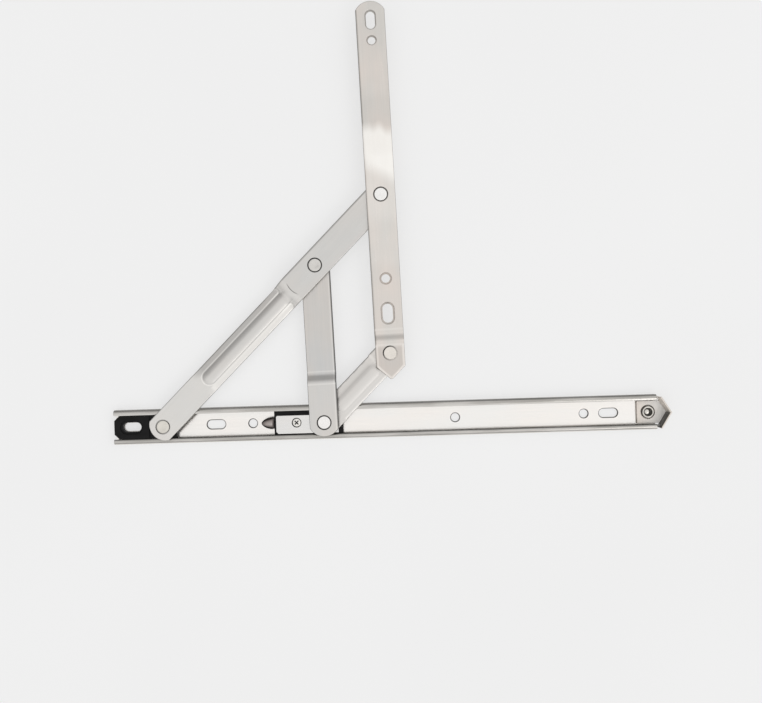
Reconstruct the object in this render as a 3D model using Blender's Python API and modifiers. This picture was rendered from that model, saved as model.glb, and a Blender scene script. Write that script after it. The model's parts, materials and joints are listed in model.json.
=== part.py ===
"""Friction stay hinge for a casement or top-hung window, in its open position.

Units are metres, +Z is up. The track lies along X with its flat back on z = 0, and the origin is the
middle of that back face. The stay opens towards +Y. Every arm is built along its own +X, from the
pivot that it turns on, and hangs on an empty placed at that pivot, so the empties repeat the linkage.
"""
import math

import bmesh
import bpy
from mathutils import Matrix, Vector

# ---- driving dimensions: the linkage -------------------------------------------------------------
LONG_ARM_TO_BRACE = 0.1390      # fixed pivot to brace pivot, along the long arm
BRACE_TO_VENT = 0.0595          # brace pivot to vent bar pivot, along the long arm
BRACE_LENGTH = 0.0978           # brace pivot to slider pivot
BRACE_OPEN_DEG = 91.6           # angle of the brace from the track when the stay is fully open

# ---- driving dimensions: the track ---------------------------------------------------------------
TRACK_LENGTH = 0.3402
TRACK_WIDTH = 0.0220
TRACK_HEIGHT = 0.0060
TRACK_SHEET = 0.0012
LIP_OPENING = 0.0152
PIVOT_FROM_END = 0.0320         # fixed pivot from the track's plain end
SCREW_HOLES_FROM_PIVOT = (0.0555, 0.1833, 0.2638)
SCREW_SLOTS_FROM_PIVOT = (0.0321, 0.2791)
SCREW_HOLE_RADIUS = 0.0026
SCREW_SLOT_SIZE = (0.0115, 0.0054)

# ---- driving dimensions: the arms ----------------------------------------------------------------
ARM_WIDTH = 0.0180
RIBBED_WIDTH = 0.0172           # pressing the rib draws the edges in
ARM_SHEET = 0.0019
LAYER_PITCH = 0.0028            # from one layer of arms to the next, washer included
LOWEST_LAYER = 0.0064           # underside of the lowest arms, clear of the track's lips
RIB_WIDTH = 0.0092
RIB_HEIGHT = 0.0009
RIB_HOLLOW_WIDTH = 0.0076       # the hollow that the rib leaves in the underside

# ---- driving dimensions: rivets and washers ------------------------------------------------------
HEAD_RADIUS = 0.0043
HEAD_SEAT_RADIUS = 0.0047
HEAD_THICKNESS = 0.0007
SHANK_RADIUS = 0.0024
SHANK_HOLE_RADIUS = 0.0027
TAIL_RADIUS = 0.0035
TAIL_SEAT_RADIUS = 0.0038
TAIL_THICKNESS = 0.0005
WASHER_RADIUS = 0.0065
WASHER_THICKNESS = 0.0004
GAP = 0.0003                    # between pieces that touch

# ---- driving dimensions: slider, end block, nose receiver ----------------------------------------
SLIDER_BEHIND_PIVOT = 0.0319    # slider pivot to the slider's leading face
SLIDER_PAST_PIVOT = 0.0112
SCREW_BEHIND_PIVOT = 0.0178
NOSE_LENGTH = 0.0080
NOSE_HALF_WIDTH = 0.0038
BLOCK_LENGTH = 0.0222
BLOCK_SLOT_FROM_PIVOT = 0.0208
SPACER_REACH = 0.0075           # pivot spacer's end, from the fixed pivot
RECEIVER_START = 0.2964         # nose receiver plate, from the fixed pivot
RECEIVER_RIVET = 0.3031
RECEIVER_APEX = 0.3157          # outer point of its V wall, from the fixed pivot
RECEIVER_HALF_ANGLE_DEG = 58.0
RECEIVER_TOP = 0.0110
RECEIVER_SHEET = 0.0015

# ---- sizes that follow from them -----------------------------------------------------------------
BRACE_OPEN = math.radians(BRACE_OPEN_DEG)
LONG_ARM_OPEN = math.asin(BRACE_LENGTH * math.sin(BRACE_OPEN) / LONG_ARM_TO_BRACE)
FOLD_BETWEEN_ARMS = BRACE_OPEN - math.pi - LONG_ARM_OPEN    # brace's direction, seen from the long arm
LONG_ARM_TO_VENT = LONG_ARM_TO_BRACE + BRACE_TO_VENT
PIVOT_X = PIVOT_FROM_END - TRACK_LENGTH / 2
SLIDER_X = (PIVOT_X + LONG_ARM_TO_BRACE * math.cos(LONG_ARM_OPEN)
            - BRACE_LENGTH * math.cos(BRACE_OPEN))
TRACK_FLOOR = TRACK_SHEET + GAP             # underside of what stands in the track
CIRCLE_STEPS = 32
WASHER_STEPS = 24

COLLECTION_NAME = "friction_stay_hinge"
CUTTER_COLLECTION_NAME = "cutters"


def layer_bottom(layer):
    """Height of the underside of an arm in layer 0, 1 or 2."""
    return LOWEST_LAYER + layer * LAYER_PITCH


def layer_top(layer):
    """Height of the top face of an arm in layer 0, 1 or 2."""
    return layer_bottom(layer) + ARM_SHEET


# ---- scene, collections, materials ---------------------------------------------------------------
def clear_scene():
    for old_object in list(bpy.data.objects):
        bpy.data.objects.remove(old_object, do_unlink=True)


def new_collection(name):
    collection = bpy.data.collections.new(name)
    bpy.context.scene.collection.children.link(collection)
    return collection


def principled(name, colour, roughness, metallic):
    """One plain surface: colour, roughness and metallic value."""
    material = bpy.data.materials.new(name)
    material.use_nodes = True
    shader = material.node_tree.nodes["Principled BSDF"]
    shader.inputs["Base Color"].default_value = (*colour, 1.0)
    shader.inputs["Roughness"].default_value = roughness
    shader.inputs["Metallic"].default_value = metallic
    return material


def make_materials():
    return {
        "arm_steel": principled("arm_steel", (0.62, 0.60, 0.57), 0.38, 1.0),
        "track_steel": principled("track_steel", (0.66, 0.65, 0.63), 0.30, 1.0),
        "rivet_steel": principled("rivet_steel", (0.80, 0.78, 0.76), 0.22, 1.0),
        "receiver_steel": principled("receiver_steel", (0.52, 0.48, 0.43), 0.35, 1.0),
        "nose_metal": principled("nose_metal", (0.20, 0.16, 0.14), 0.35, 0.9),
        "black_nylon": principled("black_nylon", (0.012, 0.012, 0.013), 0.45, 0.0),
        "white_nylon": principled("white_nylon", (0.75, 0.74, 0.70), 0.50, 0.0),
        "brass": principled("brass", (0.65, 0.48, 0.20), 0.35, 1.0),
    }


# ---- making objects ------------------------------------------------------------------------------
def add_to(collection, name, mesh, parent=None):
    """A new object for the mesh, under its joint's empty."""
    new_object = bpy.data.objects.new(name, mesh)
    collection.objects.link(new_object)
    new_object.parent = parent
    return new_object


def add_part(name, mesh, material, parent):
    part = add_to(PARTS, name, mesh, parent)
    mesh.materials.clear()
    mesh.materials.append(MATERIALS[material])
    return part


def add_cutter(name, mesh, parent):
    cutter = add_to(CUTTERS, name, mesh, parent)
    cutter.hide_render = True
    cutter.display_type = "WIRE"
    return cutter


def boolean(part, cutter, operation="DIFFERENCE"):
    modifier = part.modifiers.new(cutter.name, "BOOLEAN")
    modifier.operation = operation
    modifier.solver = "EXACT"
    modifier.object = cutter


def smooth(part, angle_deg=35.0):
    """Smooth shading that keeps the edges sharper than the angle."""
    part.data.shade_smooth()
    part.data.set_sharp_from_angle(angle=math.radians(angle_deg))


def pivot_empty(name, x, y, turn, parent=None):
    """An empty on a joint's axis, at x, y in its parent, turned about Z."""
    empty = bpy.data.objects.new(name, None)
    PARTS.objects.link(empty)
    empty.empty_display_size = 0.01
    empty.parent = parent
    empty.location = (x, y, 0.0)
    empty.rotation_euler = (0.0, 0.0, turn)
    return empty


# ---- outlines and solids -------------------------------------------------------------------------
def arc(centre_x, centre_y, radius, start_deg, end_deg, steps):
    """Points along an arc, both ends included."""
    points = []
    for step in range(steps + 1):
        angle = math.radians(start_deg + (end_deg - start_deg) * step / steps)
        points.append((centre_x + radius * math.cos(angle), centre_y + radius * math.sin(angle)))
    return points


def slot_outline(length, width):
    """A slot with round ends, about its own centre, long in X."""
    reach = (length - width) / 2
    radius = width / 2
    return arc(reach, 0.0, radius, -90.0, 90.0, 12) + arc(-reach, 0.0, radius, 90.0, 270.0, 12)


def round_end(apex_x, half_width, radius, side):
    """A round end whose arc may be flatter than a half circle; side is +1 at the far end."""
    spread = math.degrees(math.asin(min(1.0, half_width / radius)))
    if side > 0:
        return arc(apex_x - radius, 0.0, radius, -spread, spread, 14)
    return arc(apex_x + radius, 0.0, radius, 180.0 - spread, 180.0 + spread, 14)


def prism(outline, bottom, top):
    """The mesh of a flat outline given thickness from bottom to top."""
    curve = bpy.data.curves.new("outline", "CURVE")
    curve.dimensions = "2D"
    curve.fill_mode = "BOTH"
    curve.extrude = (top - bottom) / 2
    spline = curve.splines.new("POLY")
    spline.points.add(len(outline) - 1)
    spline.use_cyclic_u = True
    for point, (x, y) in zip(spline.points, outline):
        point.co = (x, y, 0.0, 1.0)
    holder = bpy.data.objects.new("outline", curve)
    bpy.context.scene.collection.objects.link(holder)
    bpy.context.view_layer.update()
    evaluated = holder.evaluated_get(bpy.context.evaluated_depsgraph_get())
    mesh = bpy.data.meshes.new_from_object(evaluated)
    bpy.data.objects.remove(holder, do_unlink=True)
    bpy.data.curves.remove(curve)
    mesh.transform(Matrix.Translation((0.0, 0.0, (top + bottom) / 2)))
    return weld(mesh)


def weld(mesh):
    """Join the caps of a solid to its sides, with every face pointing out."""
    edit = bmesh.new()
    edit.from_mesh(mesh)
    bmesh.ops.remove_doubles(edit, verts=edit.verts, dist=0.000002)
    bmesh.ops.recalc_face_normals(edit, faces=edit.faces)
    edit.to_mesh(mesh)
    edit.free()
    return mesh


def slot_loft(levels):
    """A solid through slot outlines of changing size: (size, height) pairs, lowest first."""
    mesh = bpy.data.meshes.new("slot_loft")
    edit = bmesh.new()
    rings = []
    for size, height in levels:
        rings.append([edit.verts.new((x, y, height)) for x, y in slot_outline(*size)])
    count = len(rings[0])
    for lower, upper in zip(rings, rings[1:]):
        for index in range(count):
            after = (index + 1) % count
            edit.faces.new((lower[index], lower[after], upper[after], upper[index]))
    edit.faces.new(list(reversed(rings[0])))
    edit.faces.new(rings[-1])
    edit.to_mesh(mesh)
    edit.free()
    return mesh


def box_mesh(low, high):
    """A box from its lowest to its highest corner."""
    size = [high[axis] - low[axis] for axis in range(3)]
    centre = [(high[axis] + low[axis]) / 2 for axis in range(3)]
    mesh = bpy.data.meshes.new("box")
    edit = bmesh.new()
    placing = Matrix.Translation(centre) @ Matrix.Diagonal((*size, 1.0))
    bmesh.ops.create_cube(edit, size=1.0, matrix=placing)
    edit.to_mesh(mesh)
    edit.free()
    return mesh


def cylinder_mesh(x, radius, bottom, top):
    """An upright cylinder on an axis at x."""
    mesh = bpy.data.meshes.new("cylinder")
    edit = bmesh.new()
    bmesh.ops.create_cone(edit, cap_ends=True, segments=CIRCLE_STEPS, radius1=radius, radius2=radius,
                          depth=top - bottom, matrix=Matrix.Translation((x, 0.0, (bottom + top) / 2)))
    edit.to_mesh(mesh)
    edit.free()
    return mesh


def profile_mesh(profile, closed=False):
    """Radius and height points, from the top down the outer side, joined by edges."""
    mesh = bpy.data.meshes.new("profile")
    edges = [(index, index + 1) for index in range(len(profile) - 1)]
    if closed:
        edges.append((len(profile) - 1, 0))
    mesh.from_pydata([(radius, 0.0, height) for radius, height in profile], edges, [])
    return mesh


def turn(profile_object, steps=CIRCLE_STEPS, axis="Z"):
    """Turn an object's profile through a full circle."""
    screw = profile_object.modifiers.new("turn", "SCREW")
    screw.axis = axis
    screw.steps = steps
    screw.render_steps = steps
    screw.use_merge_vertices = True
    screw.merge_threshold = 0.00001


def turned(name, profile, material, parent, steps=CIRCLE_STEPS, closed=False):
    """A turned piece about its joint's axis."""
    part = add_part(name, profile_mesh(profile, closed), material, parent)
    turn(part, steps)
    return part


def washer(name, bottom, parent, x=0.0):
    """A thin nylon washer round a rivet's shank."""
    top = bottom + WASHER_THICKNESS
    profile = [(SHANK_HOLE_RADIUS, top), (WASHER_RADIUS, top), (WASHER_RADIUS, bottom),
               (SHANK_HOLE_RADIUS, bottom)]
    part = turned(name, profile, "white_nylon", parent, steps=WASHER_STEPS, closed=True)
    part.location.x = x
    return part


def rivet(name, head_layer, tail_layer, parent, x=0.0, tail_bottom=None):
    """A flush rivet: its head in the top arm's seat, its tail in the bottom arm's."""
    top = layer_top(head_layer) - GAP / 3
    bottom = layer_bottom(tail_layer) + GAP / 3 if tail_bottom is None else tail_bottom
    rim = 0.0002
    profile = [(0.0, top), (HEAD_RADIUS - rim, top), (HEAD_RADIUS, top - rim),
               (HEAD_RADIUS, top - HEAD_THICKNESS), (SHANK_RADIUS, top - HEAD_THICKNESS),
               (SHANK_RADIUS, bottom + TAIL_THICKNESS), (TAIL_RADIUS, bottom + TAIL_THICKNESS),
               (TAIL_RADIUS, bottom), (0.0, bottom)]
    part = turned(name, profile, "rivet_steel", parent)
    part.location.x = x
    return part


# ---- holes and ribs -----------------------------------------------------------------------------
def cut_turned(part, name, x, profile):
    """Cut a turned shape, such as a hole with its seat, on an axis at x."""
    cutter = add_cutter(name, profile_mesh(profile), part.parent)
    cutter.location.x = x
    cutter.rotation_euler.z = math.pi / CIRCLE_STEPS
    turn(cutter)
    boolean(part, cutter)


def cut_round(part, name, x, radius, bottom, top):
    profile = [(0.0, top), (radius, top), (radius, bottom), (0.0, bottom)]
    cut_turned(part, name, x, profile)


def cut_stepped(part, name, x, upper, lower, step_height, bottom, top):
    """A hole that changes from an upper to a lower radius; it runs past both faces."""
    over = 0.0010
    profile = [(0.0, top + over), (upper, top + over), (upper, step_height), (lower, step_height),
               (lower, bottom - over), (0.0, bottom - over)]
    cut_turned(part, name, x, profile)


def cut_head_seat(part, name, x, layer):
    """A hole for a rivet's shank, with the seat for its head in the top face."""
    seat_floor = layer_top(layer) - HEAD_THICKNESS - GAP
    cut_stepped(part, name, x, HEAD_SEAT_RADIUS, SHANK_HOLE_RADIUS, seat_floor,
                layer_bottom(layer), layer_top(layer))


def cut_tail_seat(part, name, x, layer):
    """A hole for a rivet's shank, with the seat for its tail in the underside."""
    seat_roof = layer_bottom(layer) + TAIL_THICKNESS + GAP
    cut_stepped(part, name, x, SHANK_HOLE_RADIUS, TAIL_SEAT_RADIUS, seat_roof,
                layer_bottom(layer), layer_top(layer))


def cut_countersunk_hole(part, name, x, radius, widening, bottom, top):
    """A screw hole with a 45 degree countersink at the top."""
    over = 0.0002
    wide = radius + widening + over
    profile = [(0.0, top + over), (wide, top + over), (radius, top - widening),
               (radius, bottom - 0.001), (0.0, bottom - 0.001)]
    cut_turned(part, name, x, profile)


def cut_slot(part, name, x, size, bottom, top):
    """A straight slot with round ends."""
    loft = slot_loft([(size, bottom), (size, top)])
    cutter = add_cutter(name, loft, part.parent)
    cutter.location.x = x
    boolean(part, cutter)


def cut_countersunk_slot(part, name, x, size, widening, bottom, top):
    """A screw slot with a 45 degree countersink at the top."""
    over = 0.0002
    growth = 2 * (widening + over)
    rim = (size[0] + growth, size[1] + growth)
    loft = slot_loft([(size, bottom - 0.001), (size, top - widening), (rim, top + over)])
    cutter = add_cutter(name, loft, part.parent)
    cutter.location.x = x
    boolean(part, cutter)


def rib_capsule(name, start, end, width, height, face, parent):
    """A large capsule that shows only its top, as a rib with round ends, above the face's height."""
    radius = (width * width / 4 + height * height) / (2 * height)
    first = start + width / 2
    last = end - width / 2
    capsule = bpy.data.meshes.new(name)
    points = arc(last, 0.0, radius, 0.0, 90.0, 12) + arc(first, 0.0, radius, 90.0, 180.0, 12)
    edges = [(index, index + 1) for index in range(len(points) - 1)]
    capsule.from_pydata([(x, 0.0, z) for x, z in points], edges, [])
    cutter = add_cutter(name, capsule, parent)
    cutter.location.z = face + height - radius
    turn(cutter, 48, "X")
    return cutter


def press_rib(part, start, end, hollow_end, height=RIB_HEIGHT):
    """A pressed stiffening rib: it stands up from the top face, with a hollow in the underside."""
    top = layer_top(0)
    bottom = layer_bottom(0)
    rib = rib_capsule(part.name + "_rib", start, end, RIB_WIDTH, height, top, part.parent)
    slab = box_mesh((start - 0.001, -RIB_WIDTH, top - 0.0004), (end + 0.001, RIB_WIDTH, top + 0.002))
    boolean(rib, add_cutter(part.name + "_rib_slab", slab, part.parent), "INTERSECT")
    boolean(part, rib, "UNION")
    margin = (RIB_WIDTH - RIB_HOLLOW_WIDTH) / 2
    hollow = rib_capsule(part.name + "_rib_hollow", start + margin, hollow_end, RIB_HOLLOW_WIDTH,
                         height * 0.7, bottom, part.parent)
    boolean(part, hollow)


def arm_blank(name, edge_outline, side_outline, parent):
    """A flat or joggled arm: its side view run across the width, trimmed to its plan outline."""
    blank = prism(side_outline, -ARM_WIDTH, ARM_WIDTH)
    blank.transform(Matrix.Rotation(math.radians(90.0), 4, "X"))
    arm = add_part(name, blank, "arm_steel", parent)
    plan = prism(edge_outline, 0.0, LOWEST_LAYER + 4 * LAYER_PITCH)
    boolean(arm, add_cutter(name + "_plan", plan, parent), "INTERSECT")
    return arm


def joggled_side(start, ramp_start, ramp_end, end, first_layer, second_layer):
    """Side view, x and z, of a strip that steps from one layer to another with soft bends."""
    low = layer_bottom(first_layer)
    rise = layer_bottom(second_layer) - low
    underside = [(start, low)]
    steps = 10
    for step in range(steps + 1):
        part_way = step / steps
        ease = part_way * part_way * (3 - 2 * part_way)
        underside.append((ramp_start + (ramp_end - ramp_start) * part_way, low + rise * ease))
    underside.append((end, low + rise))
    upper = [(x, z + ARM_SHEET) for x, z in reversed(underside)]
    return underside + upper


# ---- the track and what is fixed to it -----------------------------------------------------------
def track_section():
    """The track's C section, y and z: floor, round-cornered walls and lips turned inwards."""
    half = TRACK_WIDTH / 2
    outer = 0.0014
    inner = 0.0005
    wall = half - TRACK_SHEET
    ceiling = TRACK_HEIGHT - TRACK_SHEET
    lip = LIP_OPENING / 2
    right = arc(half - outer, outer, outer, -90.0, 0.0, 5)
    right += arc(half - outer, TRACK_HEIGHT - outer, outer, 0.0, 90.0, 5)
    right += [(lip, TRACK_HEIGHT), (lip, ceiling)]
    right += arc(wall - inner, ceiling - inner, inner, 90.0, 0.0, 3)
    right += arc(wall - inner, TRACK_SHEET + inner, inner, 0.0, -90.0, 3)
    left = [(-y, z) for y, z in reversed(right)]
    return right + left


def make_track():
    mesh = prism(track_section(), -TRACK_LENGTH / 2, TRACK_LENGTH / 2)
    section_to_length = Matrix.Rotation(math.radians(90.0), 4, "Z") @ Matrix.Rotation(
        math.radians(90.0), 4, "X")
    mesh.transform(section_to_length)
    track = add_part("track_channel", mesh, "track_steel", None)
    rim = 0.0004
    for index, distance in enumerate(SCREW_HOLES_FROM_PIVOT):
        cut_countersunk_hole(track, f"track_hole_{index + 1}", PIVOT_X + distance, SCREW_HOLE_RADIUS,
                             rim, 0.0, TRACK_SHEET)
    for index, distance in enumerate(SCREW_SLOTS_FROM_PIVOT):
        cut_countersunk_slot(track, f"track_slot_{index + 1}", PIVOT_X + distance, SCREW_SLOT_SIZE,
                             rim, 0.0, TRACK_SHEET)
    cut_slot(track, "track_block_slot", PIVOT_X - BLOCK_SLOT_FROM_PIVOT, (0.0110, 0.0052),
             -0.001, TRACK_SHEET + 0.001)
    for name, distance in (("pivot", 0.0), ("receiver", RECEIVER_RIVET)):
        cut_stepped(track, f"track_{name}_hole", PIVOT_X + distance, SHANK_HOLE_RADIUS,
                    TAIL_SEAT_RADIUS, 0.0008, 0.0, TRACK_SHEET)


def make_end_block():
    """Black nylon block that closes the track's plain end, with a recessed screw slot."""
    start = PIVOT_X - PIVOT_FROM_END + GAP
    end = start + BLOCK_LENGTH
    half = LIP_OPENING / 2 - GAP
    chamfer = 0.0030
    outline = [(start + chamfer, -half), (end, -half), (end, half), (start + chamfer, half),
               (start, half - chamfer), (start, chamfer - half)]
    block = add_part("end_block", prism(outline, TRACK_FLOOR, 0.0053), "black_nylon", None)
    foot = TRACK_WIDTH / 2 - TRACK_SHEET - GAP
    foot_box = box_mesh((start + 0.0045, -foot, TRACK_FLOOR),
                        (end - 0.0015, foot, TRACK_HEIGHT - TRACK_SHEET - GAP))
    boolean(block, add_cutter("end_block_foot", foot_box, None), "UNION")
    slot_x = PIVOT_X - BLOCK_SLOT_FROM_PIVOT
    cut_slot(block, "end_block_recess", slot_x, (0.0146, 0.0088), 0.0041, 0.0070)
    cut_slot(block, "end_block_slot", slot_x, (0.0119, 0.0060), 0.0, 0.0070)


def make_pivot_spacer():
    """Black nylon packing that carries the long arm clear of the lips at the fixed pivot."""
    start = PIVOT_X - PIVOT_FROM_END + BLOCK_LENGTH + 2 * GAP
    end = PIVOT_X + SPACER_REACH
    half = LIP_OPENING / 2 - GAP
    spacer = add_part("pivot_spacer", box_mesh((start, -half, TRACK_FLOOR), (end, half, 0.0052)),
                      "black_nylon", None)
    boss = cylinder_mesh(PIVOT_X, 0.0070, TRACK_FLOOR, LOWEST_LAYER - 2 * GAP - WASHER_THICKNESS)
    boolean(spacer, add_cutter("pivot_spacer_boss", boss, None), "UNION")
    cut_round(spacer, "pivot_spacer_hole", PIVOT_X, SHANK_HOLE_RADIUS, 0.0, 0.0070)


def make_nose_receiver():
    """Steel keep at the far end: a plate in the track that turns up into a V wall."""
    lean = math.radians(RECEIVER_HALF_ANGLE_DEG)
    apex = PIVOT_X + RECEIVER_APEX
    reach = 0.0100
    end_x = apex - reach / math.tan(lean)
    across = RECEIVER_SHEET / math.sin(lean)
    wall_outline = [(apex, 0.0), (end_x, reach), (end_x - RECEIVER_SHEET * math.sin(lean),
                    reach - RECEIVER_SHEET * math.cos(lean)), (apex - across, 0.0),
                    (end_x - RECEIVER_SHEET * math.sin(lean),
                     RECEIVER_SHEET * math.cos(lean) - reach), (end_x, -reach)]
    wall_mesh = prism(wall_outline, TRACK_FLOOR + 0.0002, RECEIVER_TOP)
    receiver = add_part("nose_receiver", wall_mesh, "receiver_steel", None)
    half = LIP_OPENING / 2 - 2 * GAP
    plate_apex = apex - 0.0004
    plate_edge = plate_apex - half / math.tan(lean)
    plate_outline = [(PIVOT_X + RECEIVER_START, -half), (plate_edge, -half), (plate_apex, 0.0),
                     (plate_edge, half), (PIVOT_X + RECEIVER_START, half)]
    plate = prism(plate_outline, TRACK_FLOOR, TRACK_FLOOR + RECEIVER_SHEET)
    boolean(receiver, add_cutter("nose_receiver_plate", plate, None), "UNION")
    cut_round(receiver, "nose_receiver_hole", PIVOT_X + RECEIVER_RIVET, SHANK_HOLE_RADIUS, 0.0, 0.0050)


def make_receiver_rivet():
    """Semi-tubular rivet: its hollow end is rolled over the receiver's plate."""
    plate_top = TRACK_FLOOR + RECEIVER_SHEET
    top = plate_top + GAP + 0.0010
    bore = 0.0018
    head = 0.0037
    profile = [(0.0, 0.0016), (bore, 0.0016), (bore, top - 0.0003), (bore + 0.0003, top),
               (head - 0.0005, top), (head, top - 0.0005), (head, plate_top + GAP),
               (SHANK_RADIUS, plate_top + GAP), (SHANK_RADIUS, 0.0004), (TAIL_RADIUS, 0.0004),
               (TAIL_RADIUS, 0.0001), (0.0, 0.0001)]
    rivet_part = turned("receiver_rivet", profile, "rivet_steel", None)
    rivet_part.location.x = PIVOT_X + RECEIVER_RIVET


def make_pivot_rivet(parent):
    """Rivet of the fixed pivot, from the long arm's top face to the track's back."""
    rivet("pivot_rivet", 0, 0, parent, tail_bottom=0.0001)
    washer("pivot_washer", LOWEST_LAYER - GAP - WASHER_THICKNESS, parent)


# ---- the slider ----------------------------------------------------------------------------------
def make_slider_body(carriage):
    """Black nylon shoe that runs under the lips, hollowed for its screw, stud and nose."""
    half = LIP_OPENING / 2 - GAP
    flange = TRACK_WIDTH / 2 - TRACK_SHEET - GAP
    flange_top = TRACK_HEIGHT - TRACK_SHEET - GAP
    section = [(-flange, TRACK_FLOOR), (flange, TRACK_FLOOR), (flange, flange_top), (half, flange_top),
               (half, 0.0050), (-half, 0.0050), (-half, flange_top), (-flange, flange_top)]
    mesh = prism(section, -SLIDER_BEHIND_PIVOT, SLIDER_PAST_PIVOT)
    mesh.transform(Matrix.Rotation(math.radians(90.0), 4, "Z")
                   @ Matrix.Rotation(math.radians(90.0), 4, "X"))
    body = add_part("slider_body", mesh, "black_nylon", carriage)
    cut_round(body, "slider_stud_hole", 0.0, 0.0031, 0.0, 0.0070)
    cut_stepped(body, "slider_screw_hole", -SCREW_BEHIND_PIVOT, 0.0020, 0.0043, 0.0031,
                TRACK_FLOOR, 0.0050)
    nose_socket = box_mesh((-SLIDER_BEHIND_PIVOT - 0.001, -0.0025, 0.0022),
                           (-SLIDER_BEHIND_PIVOT + 0.0045, 0.0025, 0.0044))
    boolean(body, add_cutter("slider_nose_socket", nose_socket, carriage))


def make_slider_plate(carriage):
    """Stainless cover plate on the slider, set towards the lower lip, corners clipped."""
    start = -SLIDER_BEHIND_PIVOT + 0.0012
    end = 0.0085
    low = -0.0068
    high = 0.0046
    clip = 0.0013
    outline = [(start + clip, low), (end, low), (end, high), (start + clip / 2, high),
               (start, high - clip / 2), (start, low + clip)]
    plate = add_part("slider_plate", prism(outline, 0.0053, 0.0059), "arm_steel", carriage)
    cut_round(plate, "slider_plate_screw_hole", -SCREW_BEHIND_PIVOT, 0.0030, 0.0045, 0.0070)
    cut_round(plate, "slider_plate_stud_hole", 0.0, 0.0031, 0.0045, 0.0070)


def make_slider_nose(carriage):
    """Bullet-shaped lead of the slider, flattened, with a tang held in the nylon."""
    steps = 9
    shoulder = 0.0012
    profile = [(0.0, NOSE_LENGTH)]
    for step in range(1, steps + 1):
        part_way = step / steps
        radius = NOSE_HALF_WIDTH * math.sin(part_way * math.pi / 2) ** 0.8
        height = shoulder + (NOSE_LENGTH - shoulder) * (1 - part_way ** 1.7)
        profile.append((radius, height))
    profile += [(NOSE_HALF_WIDTH, 0.0), (0.0, 0.0)]
    nose = turned("slider_nose", profile, "nose_metal", carriage)
    flatten = 0.55
    nose.rotation_euler = (math.radians(90.0), 0.0, math.radians(-90.0))
    nose.scale = (1.0, flatten, 1.0)
    nose.location = (-SLIDER_BEHIND_PIVOT - GAP, 0.0, 0.0037)
    tang = box_mesh((-SLIDER_BEHIND_PIVOT - GAP - 0.0010, -0.0021, 0.0025),
                    (-SLIDER_BEHIND_PIVOT + 0.0040, 0.0021, 0.0041))
    boolean(nose, add_cutter("slider_nose_tang", tang, carriage), "UNION")


def make_friction_screw(screw_pivot):
    """Pan screw with a cross recess; it presses the pad below it on the track's floor."""
    top = 0.0058
    head = 0.0026
    profile = [(0.0, top), (head - 0.0004, top), (head, top - 0.0003), (head, top - 0.0006),
               (0.0017, top - 0.0006), (0.0017, 0.0029), (0.0, 0.0029)]
    screw = turned("friction_screw", profile, "rivet_steel", screw_pivot)
    long = 0.0015
    thin = 0.0003
    cross = []
    for quarter in range(4):
        facing = Matrix.Rotation(math.radians(45.0 + 90.0 * quarter), 2)
        cross += [facing @ Vector(corner) for corner in ((thin, -thin), (long, -thin), (long, thin))]
    recess = add_cutter("friction_screw_recess", prism(cross, top - 0.0010, top + 0.0005), screw_pivot)
    boolean(screw, recess)


def make_friction_pad(carriage):
    """Round brass brake pad under the screw, inside the slider."""
    profile = [(0.0, 0.0026), (0.0037, 0.0026), (0.0040, 0.0023), (0.0040, TRACK_FLOOR),
               (0.0, TRACK_FLOOR)]
    pad = turned("friction_pad", profile, "brass", carriage)
    pad.location.x = -SCREW_BEHIND_PIVOT


def make_slider_stud(carriage):
    """Steel stud in the slider, on the axis of the brace's rivet."""
    profile = [(0.0, 0.0059), (0.0025, 0.0059), (0.0028, 0.0056), (0.0028, TRACK_FLOOR),
               (0.0, TRACK_FLOOR)]
    turned("slider_stud", profile, "rivet_steel", carriage)


# ---- the arms ------------------------------------------------------------------------------------
def make_long_arm(swing):
    """Ribbed arm in the lowest layer; it steps up one layer before the brace pivot."""
    narrow = RIBBED_WIDTH / 2
    wide = ARM_WIDTH / 2
    foot = -0.0080
    tip = LONG_ARM_TO_VENT + wide
    ramp = (0.1108, 0.1172)
    plan = round_end(tip, wide, wide, 1) + [(ramp[1], wide), (ramp[0], narrow)]
    plan += round_end(foot, narrow, 0.0102, -1) + [(ramp[0], -narrow), (ramp[1], -wide)]
    side = joggled_side(foot - 0.002, *ramp, tip + 0.002, 0, 1)
    arm = arm_blank("long_arm", plan, side, swing)
    press_rib(arm, 0.0382, 0.1162, 0.1095)
    cut_head_seat(arm, "long_arm_pivot", 0.0, 0)
    cut_head_seat(arm, "long_arm_brace", LONG_ARM_TO_BRACE, 1)
    cut_tail_seat(arm, "long_arm_vent", LONG_ARM_TO_VENT, 1)
    smooth(arm)


def make_brace_arm(brace):
    """Plain arm in the lowest layer; it steps up one layer before the slider pivot."""
    half = ARM_WIDTH / 2
    foot = BRACE_LENGTH + 0.0087
    plan = round_end(foot, half, 0.0100, 1) + round_end(-half, half, half, -1)
    ramp = (BRACE_LENGTH - 0.0306, BRACE_LENGTH - 0.0250)
    side = joggled_side(-half - 0.002, *ramp, foot + 0.002, 0, 1)
    arm = arm_blank("brace_arm", plan, side, brace)
    cut_tail_seat(arm, "brace_top", 0.0, 0)
    cut_head_seat(arm, "brace_slider", BRACE_LENGTH, 1)
    smooth(arm)


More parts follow.
